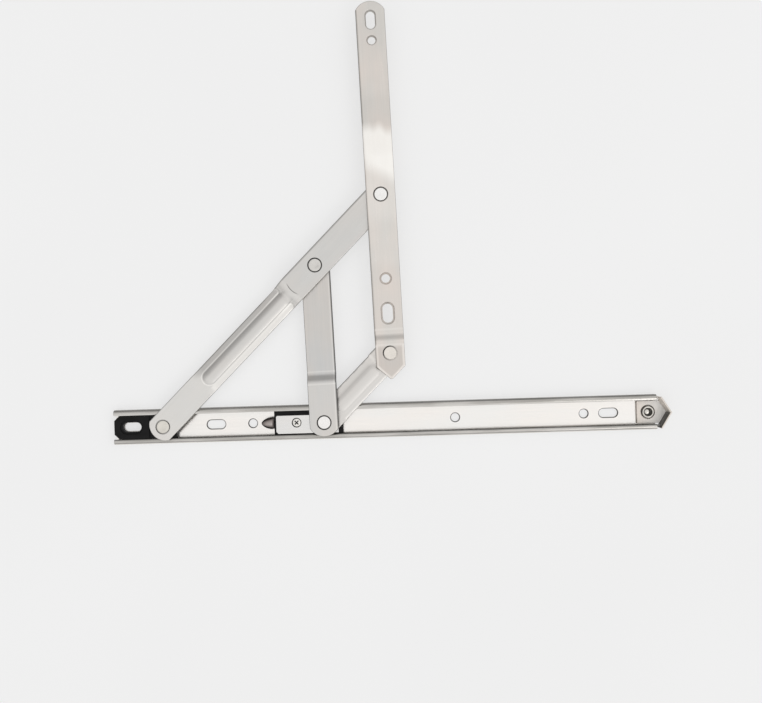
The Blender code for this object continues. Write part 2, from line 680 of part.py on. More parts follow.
def make_short_link(link):
    """Ribbed link in the lowest layer, from the slider pivot to the vent bar's nose."""
    half = ARM_WIDTH / 2
    narrow = RIBBED_WIDTH / 2
    waist = (0.0110, 0.0118, 0.0484, 0.0490)
    plan = round_end(BRACE_TO_VENT + half, half, half, 1)
    plan += [(waist[3], half), (waist[2], narrow), (waist[1], narrow), (waist[0], half)]
    plan += round_end(-half, half, half, -1)
    plan += [(waist[0], -half), (waist[1], -narrow), (waist[2], -narrow), (waist[3], -half)]
    link_arm = add_part("short_link", prism(plan, layer_bottom(0), layer_top(0)), "arm_steel", link)
    press_rib(link_arm, 0.0105, 0.0480, 0.0472, height=0.0005)
    for name, x in (("slider", 0.0), ("vent", BRACE_TO_VENT)):
        cut_tail_seat(link_arm, f"short_link_{name}", x, 0)
    smooth(link_arm)


def make_vent_bar(vent):
    """Top bar that screws to the window sash; its nose steps down one layer and ends in a point."""
    half = ARM_WIDTH / 2
    round_tip = -0.1187
    shoulder = 0.1060
    point = 0.1145
    blunt = 0.0012
    plan = [(shoulder, -half), (point - blunt * 0.4, -blunt), (point, 0.0),
            (point - blunt * 0.4, blunt), (shoulder, half)]
    plan += round_end(round_tip, half, 0.0102, -1)
    side = joggled_side(round_tip - 0.002, 0.0853, 0.0906, point + 0.002, 2, 1)
    bar = arm_blank("vent_bar", plan, side, vent)
    top = layer_top(2)
    bottom = layer_bottom(2)
    cut_head_seat(bar, "vent_bar_pivot", 0.0, 2)
    cut_head_seat(bar, "vent_bar_link", BRACE_LENGTH, 1)
    cut_countersunk_slot(bar, "vent_bar_end_slot", -0.1072, (0.0108, 0.0054), 0.0007, bottom, top)
    cut_countersunk_hole(bar, "vent_bar_end_hole", -0.0946, 0.0024, 0.0007, bottom, top)
    cut_countersunk_hole(bar, "vent_bar_nose_hole", 0.0518, 0.0026, 0.0012, bottom, top)
    cut_countersunk_slot(bar, "vent_bar_nose_slot", 0.0732, (0.0116, 0.0062), 0.0012, bottom, top)
    smooth(bar)


def make_arm_rivets(swing, brace, vent):
    rivet("brace_rivet", 1, 0, swing, x=LONG_ARM_TO_BRACE)
    rivet("vent_rivet", 2, 1, swing, x=LONG_ARM_TO_VENT)
    rivet("slider_rivet", 1, 0, brace, x=BRACE_LENGTH)
    rivet("link_rivet", 1, 0, vent, x=BRACE_LENGTH)


def make_arm_washers(swing, brace, vent):
    """One nylon washer in each gap between two arms, at the rivet."""
    centred = (LAYER_PITCH - ARM_SHEET - WASHER_THICKNESS) / 2
    washer("brace_washer", layer_top(0) + centred, swing, x=LONG_ARM_TO_BRACE)
    washer("vent_washer", layer_top(1) + centred, swing, x=LONG_ARM_TO_VENT)
    washer("slider_washer", layer_top(0) + centred, brace, x=BRACE_LENGTH)
    washer("link_washer", layer_top(0) + centred, vent, x=BRACE_LENGTH)


# ---- the whole stay ------------------------------------------------------------------------------
def main():
    swing = pivot_empty("long_arm_pivot", PIVOT_X, 0.0, LONG_ARM_OPEN)
    brace = pivot_empty("brace_pivot", LONG_ARM_TO_BRACE, 0.0, FOLD_BETWEEN_ARMS, swing)
    vent = pivot_empty("vent_pivot", LONG_ARM_TO_VENT, 0.0, FOLD_BETWEEN_ARMS, swing)
    link = pivot_empty("link_pivot", BRACE_LENGTH, 0.0, -FOLD_BETWEEN_ARMS, brace)
    fixed_pivot = pivot_empty("fixed_pivot", PIVOT_X, 0.0, 0.0)
    carriage = pivot_empty("slider_carriage", SLIDER_X, 0.0, 0.0)
    screw_pivot = pivot_empty("friction_screw_pivot", -SCREW_BEHIND_PIVOT, 0.0, 0.0, carriage)

    make_track()
    make_end_block()
    make_pivot_spacer()
    make_nose_receiver()
    make_receiver_rivet()
    make_pivot_rivet(fixed_pivot)
    make_slider_body(carriage)
    make_slider_plate(carriage)
    make_slider_nose(carriage)
    make_friction_screw(screw_pivot)
    make_friction_pad(carriage)
    make_slider_stud(carriage)
    make_long_arm(swing)
    make_brace_arm(brace)
    make_short_link(link)
    make_vent_bar(vent)
    make_arm_rivets(swing, brace, vent)
    make_arm_washers(swing, brace, vent)
    bpy.context.view_layer.update()


clear_scene()
PARTS = new_collection(COLLECTION_NAME)
CUTTERS = new_collection(CUTTER_COLLECTION_NAME)
MATERIALS = make_materials()
main()
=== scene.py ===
import json
import math

import bpy
import numpy as np
from mathutils import Matrix, Vector
from mathutils.geometry import delaunay_2d_cdt


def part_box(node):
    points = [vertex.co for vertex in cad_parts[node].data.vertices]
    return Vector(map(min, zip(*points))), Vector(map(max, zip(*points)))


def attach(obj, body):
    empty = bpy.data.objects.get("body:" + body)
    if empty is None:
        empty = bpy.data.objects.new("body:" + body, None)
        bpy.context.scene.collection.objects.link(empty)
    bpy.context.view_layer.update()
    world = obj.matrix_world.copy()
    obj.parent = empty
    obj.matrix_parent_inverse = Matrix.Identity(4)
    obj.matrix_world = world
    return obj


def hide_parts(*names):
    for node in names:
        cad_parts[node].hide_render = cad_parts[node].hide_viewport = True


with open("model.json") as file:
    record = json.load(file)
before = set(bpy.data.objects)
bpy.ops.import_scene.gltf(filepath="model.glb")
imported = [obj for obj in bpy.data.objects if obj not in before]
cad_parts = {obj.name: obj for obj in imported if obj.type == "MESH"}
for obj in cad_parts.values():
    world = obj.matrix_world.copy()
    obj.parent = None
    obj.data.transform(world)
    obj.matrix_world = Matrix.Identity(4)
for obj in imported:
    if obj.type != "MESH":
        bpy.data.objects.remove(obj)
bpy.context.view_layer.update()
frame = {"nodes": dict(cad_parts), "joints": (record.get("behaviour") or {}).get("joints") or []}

# The friction stay's looks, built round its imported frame, on the frame's own axes. Shapes are in
# millimetres until make_object; materials, lights and camera are in metres. Every arm is made along
# its own +X from the pivot that it turns on, and is then put at that pivot.

MM = 0.001


# ---- places read from the frame ----
def joint_place(name):
    """A hinge's x and y."""
    for joint in frame["joints"]:
        if joint["name"] == name:
            return Vector(joint["pos_m"][:2]) / MM
    raise ValueError(f"no joint named {name}")


def box_of(node_name):
    """The low and high corners of a node's box."""
    return [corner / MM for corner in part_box(node_name)]


FIXED_PIVOT = joint_place("long_arm_swing")
BRACE_PIVOT = joint_place("brace_fold")
VENT_PIVOT = joint_place("vent_bar_fold")
SLIDER_PIVOT = joint_place("short_link_fold")
SCREW_PIVOT = joint_place("friction_screw_turn")
LINK_PIVOT = VENT_PIVOT + SLIDER_PIVOT - BRACE_PIVOT


def heading(start, end):
    """Angle from one place to another, seen from above."""
    return math.atan2(end.y - start.y, end.x - start.x)


ARM_HEADING = heading(FIXED_PIVOT, VENT_PIVOT)
BRACE_HEADING = heading(BRACE_PIVOT, SLIDER_PIVOT)
LONG_ARM_TO_BRACE = (BRACE_PIVOT - FIXED_PIVOT).length
LONG_ARM_TO_VENT = (VENT_PIVOT - FIXED_PIVOT).length
BRACE_LENGTH = (SLIDER_PIVOT - BRACE_PIVOT).length
LINK_LENGTH = (LINK_PIVOT - SLIDER_PIVOT).length

TRACK_LOW, TRACK_HIGH = box_of("track_channel")
RECEIVER_HIGH = box_of("nose_receiver")[1]
PIVOT_X = FIXED_PIVOT.x
RECEIVER_RIVET_X = PIVOT_X + 303.1

# ---- sizes ----
ARM_HALF = 9.0
RIBBED_HALF = 8.6
ARM_SHEET = 1.9
LAYER_RISE = 2.8
ARM_TOPS = [8.3 + LAYER_RISE * layer for layer in range(3)]     # each layer's top face
EDGE_ROUND = 0.34
HOLE_ROUND = 0.15
FACE_DROP = 0.04            # an edge's rings that dip less than this count as the face
SEAT_RADIUS = 4.60
SEAT_DEPTH = 1.05
SHANK_HOLE = 2.7
TAIL_SEAT_RADIUS = 3.8
HEAD_RADIUS = 3.92
TRACK_SHEET = 1.2
FILLET_POINTS = 6
SHARP_ANGLE = math.radians(38.0)
# Painted shade in the friction screw's cross recess and on its shank.
PAINTED_RECESS_SHADE = 0.93


# ---- outlines ----
def arc(centre, radius, start_deg, end_deg, step=0.35):
    """Points along an arc, both ends included."""
    sweep = math.radians(end_deg - start_deg)
    count = max(4, int(abs(sweep) * radius / step))
    angles = np.linspace(math.radians(start_deg), math.radians(end_deg), count + 1)
    return [(centre[0] + radius * math.cos(a), centre[1] + radius * math.sin(a)) for a in angles]


def circle(centre, radius, step=0.3):
    return np.array(arc(centre, radius, 0.0, 360.0, step)[:-1])


def slot(centre, length, width):
    """A slot with round ends, long in X."""
    reach = (length - width) / 2
    right = arc((centre[0] + reach, centre[1]), width / 2, -90.0, 90.0, 0.3)
    left = arc((centre[0] - reach, centre[1]), width / 2, 90.0, 270.0, 0.3)
    return np.array(right + left)


def round_end(apex_x, half_width, radius, side):
    """A round end of an arm; side is +1 at the far end and -1 at the near one."""
    spread = math.degrees(math.asin(min(1.0, half_width / radius)))
    middle = 0.0 if side > 0 else 180.0
    return arc((apex_x - side * radius, 0.0), radius, middle - spread, middle + spread)


def fillet(corners, radii):
    """A closed outline with each corner turned into an arc, of one radius or of its own."""
    points = []
    count = len(corners)
    for index in range(count):
        here = Vector(corners[index])
        radius = radii if isinstance(radii, float) else radii[index]
        back = (Vector(corners[index - 1]) - here).normalized()
        ahead = (Vector(corners[(index + 1) % count]) - here).normalized()
        half_angle = back.angle(ahead) / 2
        reach = radius / math.tan(half_angle)
        centre = here + (back + ahead).normalized() * (radius / math.sin(half_angle))
        first = here + back * reach - centre
        last = here + ahead * reach - centre
        start = math.atan2(first.y, first.x)
        turn = (math.atan2(last.y, last.x) - start + math.pi) % (2 * math.pi) - math.pi
        for angle in np.linspace(start, start + turn, FILLET_POINTS):
            points.append((centre.x + radius * math.cos(angle), centre.y + radius * math.sin(angle)))
    return points


def dense(points, spacing):
    """The closed outline with no edge longer than the spacing."""
    filled = []
    for here, after in zip(points, points[1:] + points[:1]):
        length = math.dist(here, after)
        if length < 1e-4:
            continue
        count = max(1, math.ceil(length / spacing))
        for step in range(count):
            part_way = step / count
            filled.append((here[0] + (after[0] - here[0]) * part_way,
                           here[1] + (after[1] - here[1]) * part_way))
    return np.array(filled)


def inset(loop, distance):
    """The closed loop moved to its left, with mitred corners."""
    edge = np.roll(loop, -1, 0) - loop
    edge /= np.linalg.norm(edge, axis=1)[:, None]
    after = np.stack([-edge[:, 1], edge[:, 0]], 1)
    before = np.roll(after, 1, 0)
    mitre = (before + after) / (1.0 + (before * after).sum(1))[:, None]
    return loop + mitre * distance


def inside(points, loops):
    """Which points lie in an odd number of the loops."""
    found = np.zeros(len(points), bool)
    for loop in loops:
        after = np.roll(loop, -1, 0)
        for (x0, y0), (x1, y1) in zip(loop, after):
            if y0 == y1:
                continue
            crosses = (points[:, 1] < y0) != (points[:, 1] < y1)
            x_at = x0 + (points[:, 1] - y0) * (x1 - x0) / (y1 - y0)
            found ^= crosses & (points[:, 0] < x_at)
    return found


def clear_of(points, loops, margin):
    """Which points are further than the margin from every loop's points."""
    kept = np.ones(len(points), bool)
    for loop in loops:
        for start in range(0, len(loop), 200):
            gaps = points[:, None, :] - loop[None, start:start + 200, :]
            kept &= (gaps ** 2).sum(2).min(1) > margin * margin
    return kept


# ---- sheet metal ----
def quarter_round(radius, at=0.0, steps=4):
    """Inset and drop of each ring of a rounded edge, from the face to the wall."""
    guard = [(at + radius * 1.35, 0.0)]
    angles = np.linspace(0.0, math.pi / 2, steps + 1)
    return guard + [(at + radius * (1 - math.sin(a)), radius * (1 - math.cos(a))) for a in angles]


CRISP_EDGE = quarter_round(0.08, steps=2)[::-1]


def edge_of(loop, top_radius=EDGE_ROUND, under_radius=0.18, painted_shading=0.0):
    """A loop with a rounded edge above and below, and the painted shade given for that edge."""
    return loop, quarter_round(top_radius), quarter_round(under_radius, steps=3)[::-1], painted_shading


def punched(loop, painted_shading=0.45):
    """A plain hole: the punch draws its upper edge in, and leaves the lower one crisp."""
    # Painted shade down the hole's rounded rim, walls and lower edge.
    return loop[::-1], quarter_round(HOLE_ROUND, steps=3), CRISP_EDGE, painted_shading


def countersunk(loop, widening, depth, painted_shading=0.0):
    """A hole with a conical countersink that ends in a soft edge, with the given painted shade in the
    countersink and down its walls.
    """
    soft = 0.12
    above = [(widening + 3 * soft, 0.0), (widening + soft, 0.0), (widening, soft * 0.35),
             (widening - soft * 0.6, soft), (soft * 0.5, depth - soft * 0.4), (0.0, depth + soft)]
    return loop[::-1], above, CRISP_EDGE, painted_shading


def one_sided(loop, x, towards_deg, average, swing):
    """A value round a loop about x that is lowest in one direction."""
    angles = np.arctan2(loop[:, 1], loop[:, 0] - x) - math.radians(towards_deg)
    return average - swing * np.cos(angles)


def head_seat(x, painted_shading, lighter_towards=None):
    """A rivet's shank hole with the round seat of its head above, in painted shade that is lighter on
    one side if asked.
    """
    hole = circle((x, 0.0), SHANK_HOLE)[::-1]
    if lighter_towards is not None:
        painted_shading = painted_shading * one_sided(hole, x, lighter_towards, 0.5, 0.5)
    step = SEAT_RADIUS - SHANK_HOLE
    above = quarter_round(0.10, at=step, steps=3) + [(step, SEAT_DEPTH), (0.0, SEAT_DEPTH)]
    return hole, above, CRISP_EDGE, painted_shading


def tail_seat(x):
    """A rivet's shank hole with the round seat of its tail below."""
    hole = circle((x, 0.0), SHANK_HOLE)[::-1]
    step = TAIL_SEAT_RADIUS - SHANK_HOLE
    below = [(0.0, 0.8), (step, 0.8)] + quarter_round(0.08, at=step, steps=2)[::-1]
    # Painted shade in the hole and the tail's seat.
    return hole, quarter_round(0.08, steps=2), below, 0.5


def material_side(triangles, loop_edges):
    """The triangles on the left of the loops, found by spreading in from the loops' own edges."""
    walls = set(loop_edges)
    owner = {}
    for number, (a, b, c) in enumerate(triangles):
        owner[a, b] = owner[b, c] = owner[c, a] = number
    waiting = [owner[edge] for edge in loop_edges if edge in owner]
    kept = set(waiting)
    while waiting:
        a, b, c = triangles[waiting.pop()]
        for first, second in ((a, b), (b, c), (c, a)):
            neighbour = owner.get((second, first))
            if (first, second) not in walls and neighbour is not None and neighbour not in kept:
                kept.add(neighbour)
                waiting.append(neighbour)
    return np.array([triangles[number] for number in sorted(kept)])


def cap(loops, columns, rows):
    """Points inside the loops, and triangles over the loops' points followed by those."""
    grid_x, grid_y = np.meshgrid(columns, rows)
    grid = np.stack([grid_x.ravel(), grid_y.ravel()], 1)
    grid = grid[inside(grid, loops)]
    pitch = min(np.diff(columns).min(), np.diff(rows).min())
    grid = grid[clear_of(grid, loops, pitch * 0.55)]
    points = np.concatenate(loops + [grid])
    edges = []
    start = 0
    for loop in loops:
        count = len(loop)
        edges += [(start + i, start + (i + 1) % count) for i in range(count)]
        start += count
    _, _, triangles, sources, _, _ = delaunay_2d_cdt([Vector(p) for p in points], edges, [], 0, 1e-7)
    triangles = [tuple(sources[corner][0] for corner in t) for t in triangles if len(t) == 3]
    return grid, material_side(triangles, edges)


def even(low, high, spacing):
    """Even places from low to high, about the spacing apart."""
    return np.linspace(low, high, max(2, int((high - low) / spacing)) + 1)


def plate(edges, top, under, spacing=0.8, bend=None, rows=None, column_spacing=None, painted_shading_map=None,
          extra_columns=()):
    """Vertices, faces and the vertices' painted shading for a piece of sheet.

    edges holds loops of points, the outline first, each with its insets and drops above and below
    and its painted shade, which goes on the edge's rings off the top face. top and under give the
    faces' heights at x and y, and bend maps flat points to bent ones. The faces have points where
    rows and columns cross. The map of painted light and shade gives the painted shade of the upper
    face, or of both if the sheet is bent, and is below nought where it paints a highlight.
    """
    outline = edges[0][0]
    if rows is None:
        rows = even(outline[:, 1].min(), outline[:, 1].max(), spacing)
    columns = even(outline[:, 0].min(), outline[:, 0].max(), column_spacing or spacing)
    columns = np.unique(np.concatenate([columns, extra_columns]))
    vertices, dark, faces, upper_rings, lower_rings = [], [], [], [], []
    count = 0
    for loop, above, below, painted_shading in edges:
        rings = []
        for face, profile, is_top in ((top, above, True), (under, below, False)):
            for distance, drop in profile:
                ring = inset(loop, distance)
                heights = face(ring[:, 0], ring[:, 1]) + (-drop if is_top else drop)
                vertices.append(np.column_stack([ring, heights]))
                on_face = drop <= FACE_DROP
                # Rings on a face take the map's painted light and shade; the edge's other rings take
                # the loop's painted shade.
                if painted_shading_map is not None and on_face and (bend or is_top):
                    dark.append(painted_shading_map(ring[:, 0], ring[:, 1]))
                else:
                    dark.append(np.zeros(len(ring)) + (0.0 if on_face and is_top else painted_shading))
                rings.append((count, ring))
                count += len(ring)
        around = np.arange(len(loop))
        after = np.roll(around, -1)
        for (upper, _), (lower, _) in zip(rings, rings[1:]):
            faces += np.column_stack([upper + around, lower + around, lower + after,
                                      upper + after]).tolist()
        upper_rings.append(rings[0])
        lower_rings.append(rings[-1])
    for face, rings, is_top in ((top, upper_rings, True), (under, lower_rings, False)):
        grid, corners = cap([ring for _, ring in rings], columns, rows)
        numbers = np.concatenate([start + np.arange(len(ring)) for start, ring in rings]
                                 + [count + np.arange(len(grid))])
        if len(grid):
            vertices.append(np.column_stack([grid, face(grid[:, 0], grid[:, 1])]))
            shading_mapped = painted_shading_map is not None and (bend or is_top)
            dark.append(painted_shading_map(grid[:, 0], grid[:, 1]) if shading_mapped else np.zeros(len(grid)))
            count += len(grid)
        corners = numbers[corners]
        faces += (corners if is_top else corners[:, ::-1]).tolist()
    vertices = np.concatenate(vertices)
    if bend is not None:
        vertices = bend(vertices)
    return vertices, faces, np.concatenate(dark)


def level(height):
    """A flat face."""
    return lambda x, y: np.full(np.shape(x), height)


def rising(value, start, length):
    """Nought up to the start, one from the length beyond it, and even between."""
    return np.clip((value - start) / length, 0.0, 1.0)


def falling(value, end, length):
    """One until the length before the end, then down evenly to nought there."""
    return np.clip((end - value) / length, 0.0, 1.0)


def smooth(t):
    """The same way from nought to one, eased in and out."""
    return t * t * (3 - 2 * t)


def joggle(x, start, end, rise, bend_share=0.34):
    """Height of a step between two layers: two soft bends with a straight ramp between them."""
    t = rising(x, start, end - start)
    steepest = 1.0 / (1.0 - bend_share)
    first = steepest * t * t / (2 * bend_share)
    middle = steepest * (t - bend_share / 2)
    last = 1.0 - steepest * (1 - t) ** 2 / (2 * bend_share)
    return rise * np.where(t < bend_share, first, np.where(t > 1 - bend_share, last, middle))


def off_axis(x, y, start, end, width):
    """Distance from the middle line of a capsule that runs from start to end."""
    half = width / 2
    return np.hypot(x - np.clip(x, start + half, end - half), y)


def pressed_rib(x, y, start, end, width, height):
    """Height of a pressed rib with round ends, a rounded crest and a fine bead round its foot."""
    half = width / 2
    away = off_axis(x, y, start, end, width)
    radius = (half * half + height * height) / (2 * height)
    raised = np.sqrt(np.maximum(radius ** 2 - away ** 2, 0.0)) - (radius - height)
    soft = 0.04
    crown = 0.5 * (raised + np.sqrt(raised ** 2 + soft ** 2)) * (away < half + 0.8)
    bead = 0.11 * np.exp(-((away - half - 0.55) / 0.38) ** 2)
    return crown + bead


def band(value, low, high, soft):
    """One between low and high, falling smoothly to nought over the soft distance outside."""
    return smooth(rising(np.minimum(value - low, high - value), -soft, soft))


def drooped(x, y, start, end, fall):
    """How far the flats beside a rib fall away towards the arm's edges."""
    across = np.clip((np.abs(y) - 4.4) / 4.2, 0.0, 1.1)
    return fall * rising(x, start, 4.0) * falling(x, end, 3.0) * across ** 1.4


# ---- making objects ----
def make_object(name, node_name, parts, material, body, place=(0.0, 0.0), turn=0.0):
    """One piece from its parts, turned, put at its pivot and given to its body, in the place of its CAD
    node, which is hidden.
    """
    vertices, faces, dark = [], [], []
    start = 0
    for part_vertices, part_faces, part_dark in parts:
        vertices.append(part_vertices)
        dark.append(part_dark)
        faces += [[start + corner for corner in face] for face in part_faces]
        start += len(part_vertices)
    vertices = MM * np.concatenate(vertices) @ np.array(Matrix.Rotation(-turn, 3, "Z"))
    mesh = bpy.data.meshes.new(name)
    mesh.from_pydata(vertices.tolist(), [], faces)
    # Each vertex's painted shade, above nought, or painted highlight, below nought, kept for the
    # finish.
    painted_shading = mesh.attributes.new("painted_shading", "FLOAT", "POINT")
    painted_shading.data.foreach_set("value", np.concatenate(dark).astype(np.float32))
    mesh.materials.append(material)
    piece = bpy.data.objects.new(name, mesh)
    bpy.context.scene.collection.objects.link(piece)
    piece.location = (place[0] * MM, place[1] * MM, 0.0)
    mesh.shade_smooth()
    mesh.set_sharp_from_angle(angle=SHARP_ANGLE)
    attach(piece, body)
    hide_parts(node_name)
    return piece


def skin(rings):
    """Faces between rings of vertex numbers; a ring of one vertex closes an end."""
    faces = []
    for upper, lower in zip(rings, rings[1:]):
        steps = max(len(upper), len(lower))
        for step in range(steps):
            after = (step + 1) % steps
            if len(upper) == 1:
                faces.append((upper[0], lower[step], lower[after]))
            elif len(lower) == 1:
                faces.append((upper[step], lower[0], upper[after]))
            else:
                faces.append((upper[step], lower[step], lower[after], upper[after]))
    return faces


def lathe(profile, steps=72):
    """A turned solid from radius and height points, down its outer side from axis to axis."""
    vertices = []
    rings = []
    for radius, height in profile:
        corners = steps if radius else 1
        rings.append(range(len(vertices), len(vertices) + corners))
        for step in range(corners):
            angle = 2 * math.pi * step / steps
            vertices.append((radius * math.cos(angle), radius * math.sin(angle), height))
    vertices = np.array(vertices)
    # Painted shade on all that lies more than 0.3 mm below the top: the sides and the underside.
    below_rim = vertices[:, 2].max() - vertices[:, 2] > 0.3
    return vertices, skin(rings), np.where(below_rim, 0.8, 0.0)


# ---- materials ----
def new_material(name, metal=0.0):
    """A material with its node tree and its shader."""
    material = bpy.data.materials.new(name)
    material.use_nodes = True
    tree = material.node_tree
    shader = tree.nodes["Principled BSDF"]
    shader.inputs["Metallic"].default_value = metal
    return material, tree, shader


def node(tree, kind, **values):
    """A node with its properties, and its inputs given by name."""
    made = tree.nodes.new(kind)
    for key, value in values.items():
        if hasattr(made, key):
            setattr(made, key, value)
        else:
            made.inputs[key.replace("_", " ")].default_value = value
    return made


def noise(tree, stretch, seed, detail=3.0, roughness=0.55, turn=0.0):
    """Noise along a piece that lies at an angle: features per metre along, across and up."""
    coordinates = node(tree, "ShaderNodeTexCoord")
    straight = node(tree, "ShaderNodeVectorRotate", rotation_type="Z_AXIS", Angle=-turn)
    mapping = node(tree, "ShaderNodeMapping", Location=(seed, seed * 1.7, seed * 0.6), Scale=stretch)
    texture = node(tree, "ShaderNodeTexNoise", Scale=1.0, Detail=detail, Roughness=roughness)
    tree.links.new(coordinates.outputs["Object"], straight.inputs["Vector"])
    tree.links.new(straight.outputs["Vector"], mapping.inputs["Vector"])
    tree.links.new(mapping.outputs["Vector"], texture.inputs["Vector"])
    return texture.outputs["Fac"]


def spread(tree, value, low, high, from_low=0.3, from_high=0.7):
    """Map a noise's middle band to a range."""
    mapped = node(tree, "ShaderNodeMapRange", From_Min=from_low, From_Max=from_high,
                  To_Min=low, To_Max=high)
    tree.links.new(value, mapped.inputs["Value"])
    return mapped.outputs["Result"]


def eased(tree, value, from_low, from_high, low, high):
    """Map a range to another, eased in and out."""
    mapped = node(tree, "ShaderNodeMapRange", interpolation_type="SMOOTHSTEP", From_Min=from_low,
                  From_Max=from_high, To_Min=low, To_Max=high)
    tree.links.new(value, mapped.inputs["Value"])
    return mapped.outputs["Result"]


def blend_colours(tree, factor, first, second):
    mix = node(tree, "ShaderNodeMix", data_type="RGBA")
    tree.links.new(factor, mix.inputs["Factor"])
    for socket, colour in (("A", first), ("B", second)):
        target = [s for s in mix.inputs if s.name == socket and s.type == "RGBA"][0]
        if isinstance(colour, tuple):
            target.default_value = (*colour, 1.0)
        else:
            tree.links.new(colour, target)
    return [s for s in mix.outputs if s.type == "RGBA"][0]


def maths(tree, operation, first, second):
    made = node(tree, "ShaderNodeMath", operation=operation)
    for socket, value in zip(made.inputs, (first, second)):
        if isinstance(value, float):
            socket.default_value = value
        else:
            tree.links.new(value, socket)
    return made.outputs[0]


def surface(tree, shader, colour, roughness, height, strength, depth=0.02 * MM):
    """Give the shader its colour and roughness, and bumps too fine for the mesh."""
    tree.links.new(colour, shader.inputs["Base Color"])
    tree.links.new(roughness, shader.inputs["Roughness"])
    bump = node(tree, "ShaderNodeBump", Strength=strength, Distance=depth)
    tree.links.new(height, bump.inputs["Height"])
    tree.links.new(bump.outputs["Normal"], shader.inputs["Normal"])


def with_painted_shading(tree, colour):
    """The colour with painted shade, towards near black, where the mesh's painted shading is above
    nought, and a painted highlight, towards pale, where it is below nought.
    """
    painted_shading = node(tree, "ShaderNodeAttribute", attribute_name="painted_shading")
    highlight_amount = maths(tree, "MULTIPLY", painted_shading.outputs["Fac"], -1.0)
    paler = blend_colours(tree, highlight_amount, colour, (0.95, 0.925, 0.885))
    return blend_colours(tree, painted_shading.outputs["Fac"], paler, (0.012, 0.011, 0.010))


def painted_darker_higher(tree, colour, seed):
    """The colour, painted darker on the walls and lips as shade, with long blotches of painted
    reflection.
    """
    coordinates = node(tree, "ShaderNodeTexCoord")
    apart = node(tree, "ShaderNodeSeparateXYZ")
    tree.links.new(coordinates.outputs["Object"], apart.inputs["Vector"])
    height = node(tree, "ShaderNodeMapRange", From_Min=1.6 * MM, From_Max=3.6 * MM)
    tree.links.new(apart.outputs["Z"], height.inputs["Value"])
    reflection_blotches = noise(tree, (28.0, 300.0, 300.0), seed + 9.0, detail=3.0)
    painted_lip_tone = blend_colours(tree, spread(tree, reflection_blotches, 0.0, 1.0, 0.38, 0.62), (0.40, 0.385, 0.36),
                           (0.56, 0.54, 0.515))
    return blend_colours(tree, height.outputs["Result"], colour, painted_lip_tone)


def steel(name, cool, warm, gloss, seed, turn=0.0, paint_lips_darker=False, metal=1.0):
    """Brushed stainless: fine grain along the piece, slow warm and cool clouds, faint smudges."""
    material, tree, shader = new_material(name, metal)
    clouds = noise(tree, (22.0, 60.0, 60.0), seed, detail=2.0, turn=turn)
    tint = blend_colours(tree, spread(tree, clouds, 0.0, 1.0, 0.35, 0.65), cool, warm)
    streaks = noise(tree, (35.0, 1600.0, 1600.0), seed + 3.0, detail=4.0, roughness=0.65, turn=turn)
    darker = tuple(channel * 0.93 for channel in cool)
    colour = blend_colours(tree, spread(tree, streaks, 0.0, 0.35), tint, darker)
    # Walls and lips painted darker, with blotches of painted reflection.
    if paint_lips_darker:
        colour = painted_darker_higher(tree, colour, seed)
    smudges = noise(tree, (90.0, 130.0, 130.0), seed + 7.0, detail=5.0, roughness=0.7)
    rough = maths(tree, "ADD", spread(tree, streaks, gloss - 0.05, gloss + 0.06),
                  spread(tree, smudges, -0.02, 0.04, 0.4, 0.75))
    # The mesh's painted shade and painted highlights go over the steel's colour.
    surface(tree, shader, with_painted_shading(tree, colour), rough, streaks, 0.25)
    return material


def turned_steel(name, colour, gloss, seed):
    """Bright rivet steel: concentric turning marks and a few handling marks."""
    material, tree, shader = new_material(name, 1.0)
    coordinates = node(tree, "ShaderNodeTexCoord")
    rings = node(tree, "ShaderNodeTexWave", wave_type="RINGS", rings_direction="Z", Scale=900.0,
                 Distortion=1.2, Detail=2.0)
    tree.links.new(coordinates.outputs["Object"], rings.inputs["Vector"])
    marks = noise(tree, (260.0, 260.0, 260.0), seed, detail=4.0, roughness=0.7)
    dull = tuple(channel * 0.88 for channel in colour)
    marked = blend_colours(tree, spread(tree, marks, 0.0, 0.6, 0.45, 0.75), colour, dull)
    # The mesh's painted shade and painted highlights go over the steel's colour.
    surface(tree, shader, with_painted_shading(tree, marked), spread(tree, marks, gloss - 0.04, gloss + 0.08),
            rings.outputs["Fac"], 0.12)
    return material


def moulded_nylon(name, colour, gloss, seed, specular=0.4):
    """Moulded nylon: fine mould texture, flow marks and slightly paler rubbed patches."""
    material, tree, shader = new_material(name)
    shader.inputs["Specular IOR Level"].default_value = specular
    flow = noise(tree, (60.0, 140.0, 140.0), seed, detail=3.0)
    paler = tuple(min(1.0, channel * 1.35 + 0.006) for channel in colour)
    clouded = blend_colours(tree, spread(tree, flow, 0.0, 0.8), colour, paler)
    mould = noise(tree, (2600.0, 2600.0, 2600.0), seed + 5.0, detail=2.0)
    rough = maths(tree, "ADD", spread(tree, flow, gloss - 0.05, gloss + 0.05),
                  spread(tree, mould, -0.03, 0.03))
    surface(tree, shader, clouded, rough, mould, 0.22, 0.03 * MM)
    return material


def sintered(name, colour, gloss, seed):
    """Sintered metal: fine grains, slow clouds, and the mesh's painted shade and painted highlights."""
    material, tree, shader = new_material(name, 1.0)
    grains = noise(tree, (1500.0, 1500.0, 1500.0), seed, detail=3.0)
    cloud = noise(tree, (160.0, 220.0, 220.0), seed + 2.0)
    lighter = tuple(channel * 1.5 for channel in colour)
    clouded = blend_colours(tree, spread(tree, cloud, 0.0, 1.0), colour, lighter)
    surface(tree, shader, with_painted_shading(tree, clouded), spread(tree, grains, gloss - 0.05, gloss + 0.07),
            grains, 0.2)
    return material


# ---- the arms ----
def make_arm(body, node_name, sheet, cool, warm, gloss, seed, pivot, turn):
    """One arm in brushed steel, from its sheet made along +X, at the pivot that it turns on."""
    finish = steel(body + "_steel", cool, warm, gloss, seed, turn=turn)
    make_object(body + "_strip", node_name, [sheet], finish, body, pivot, turn)


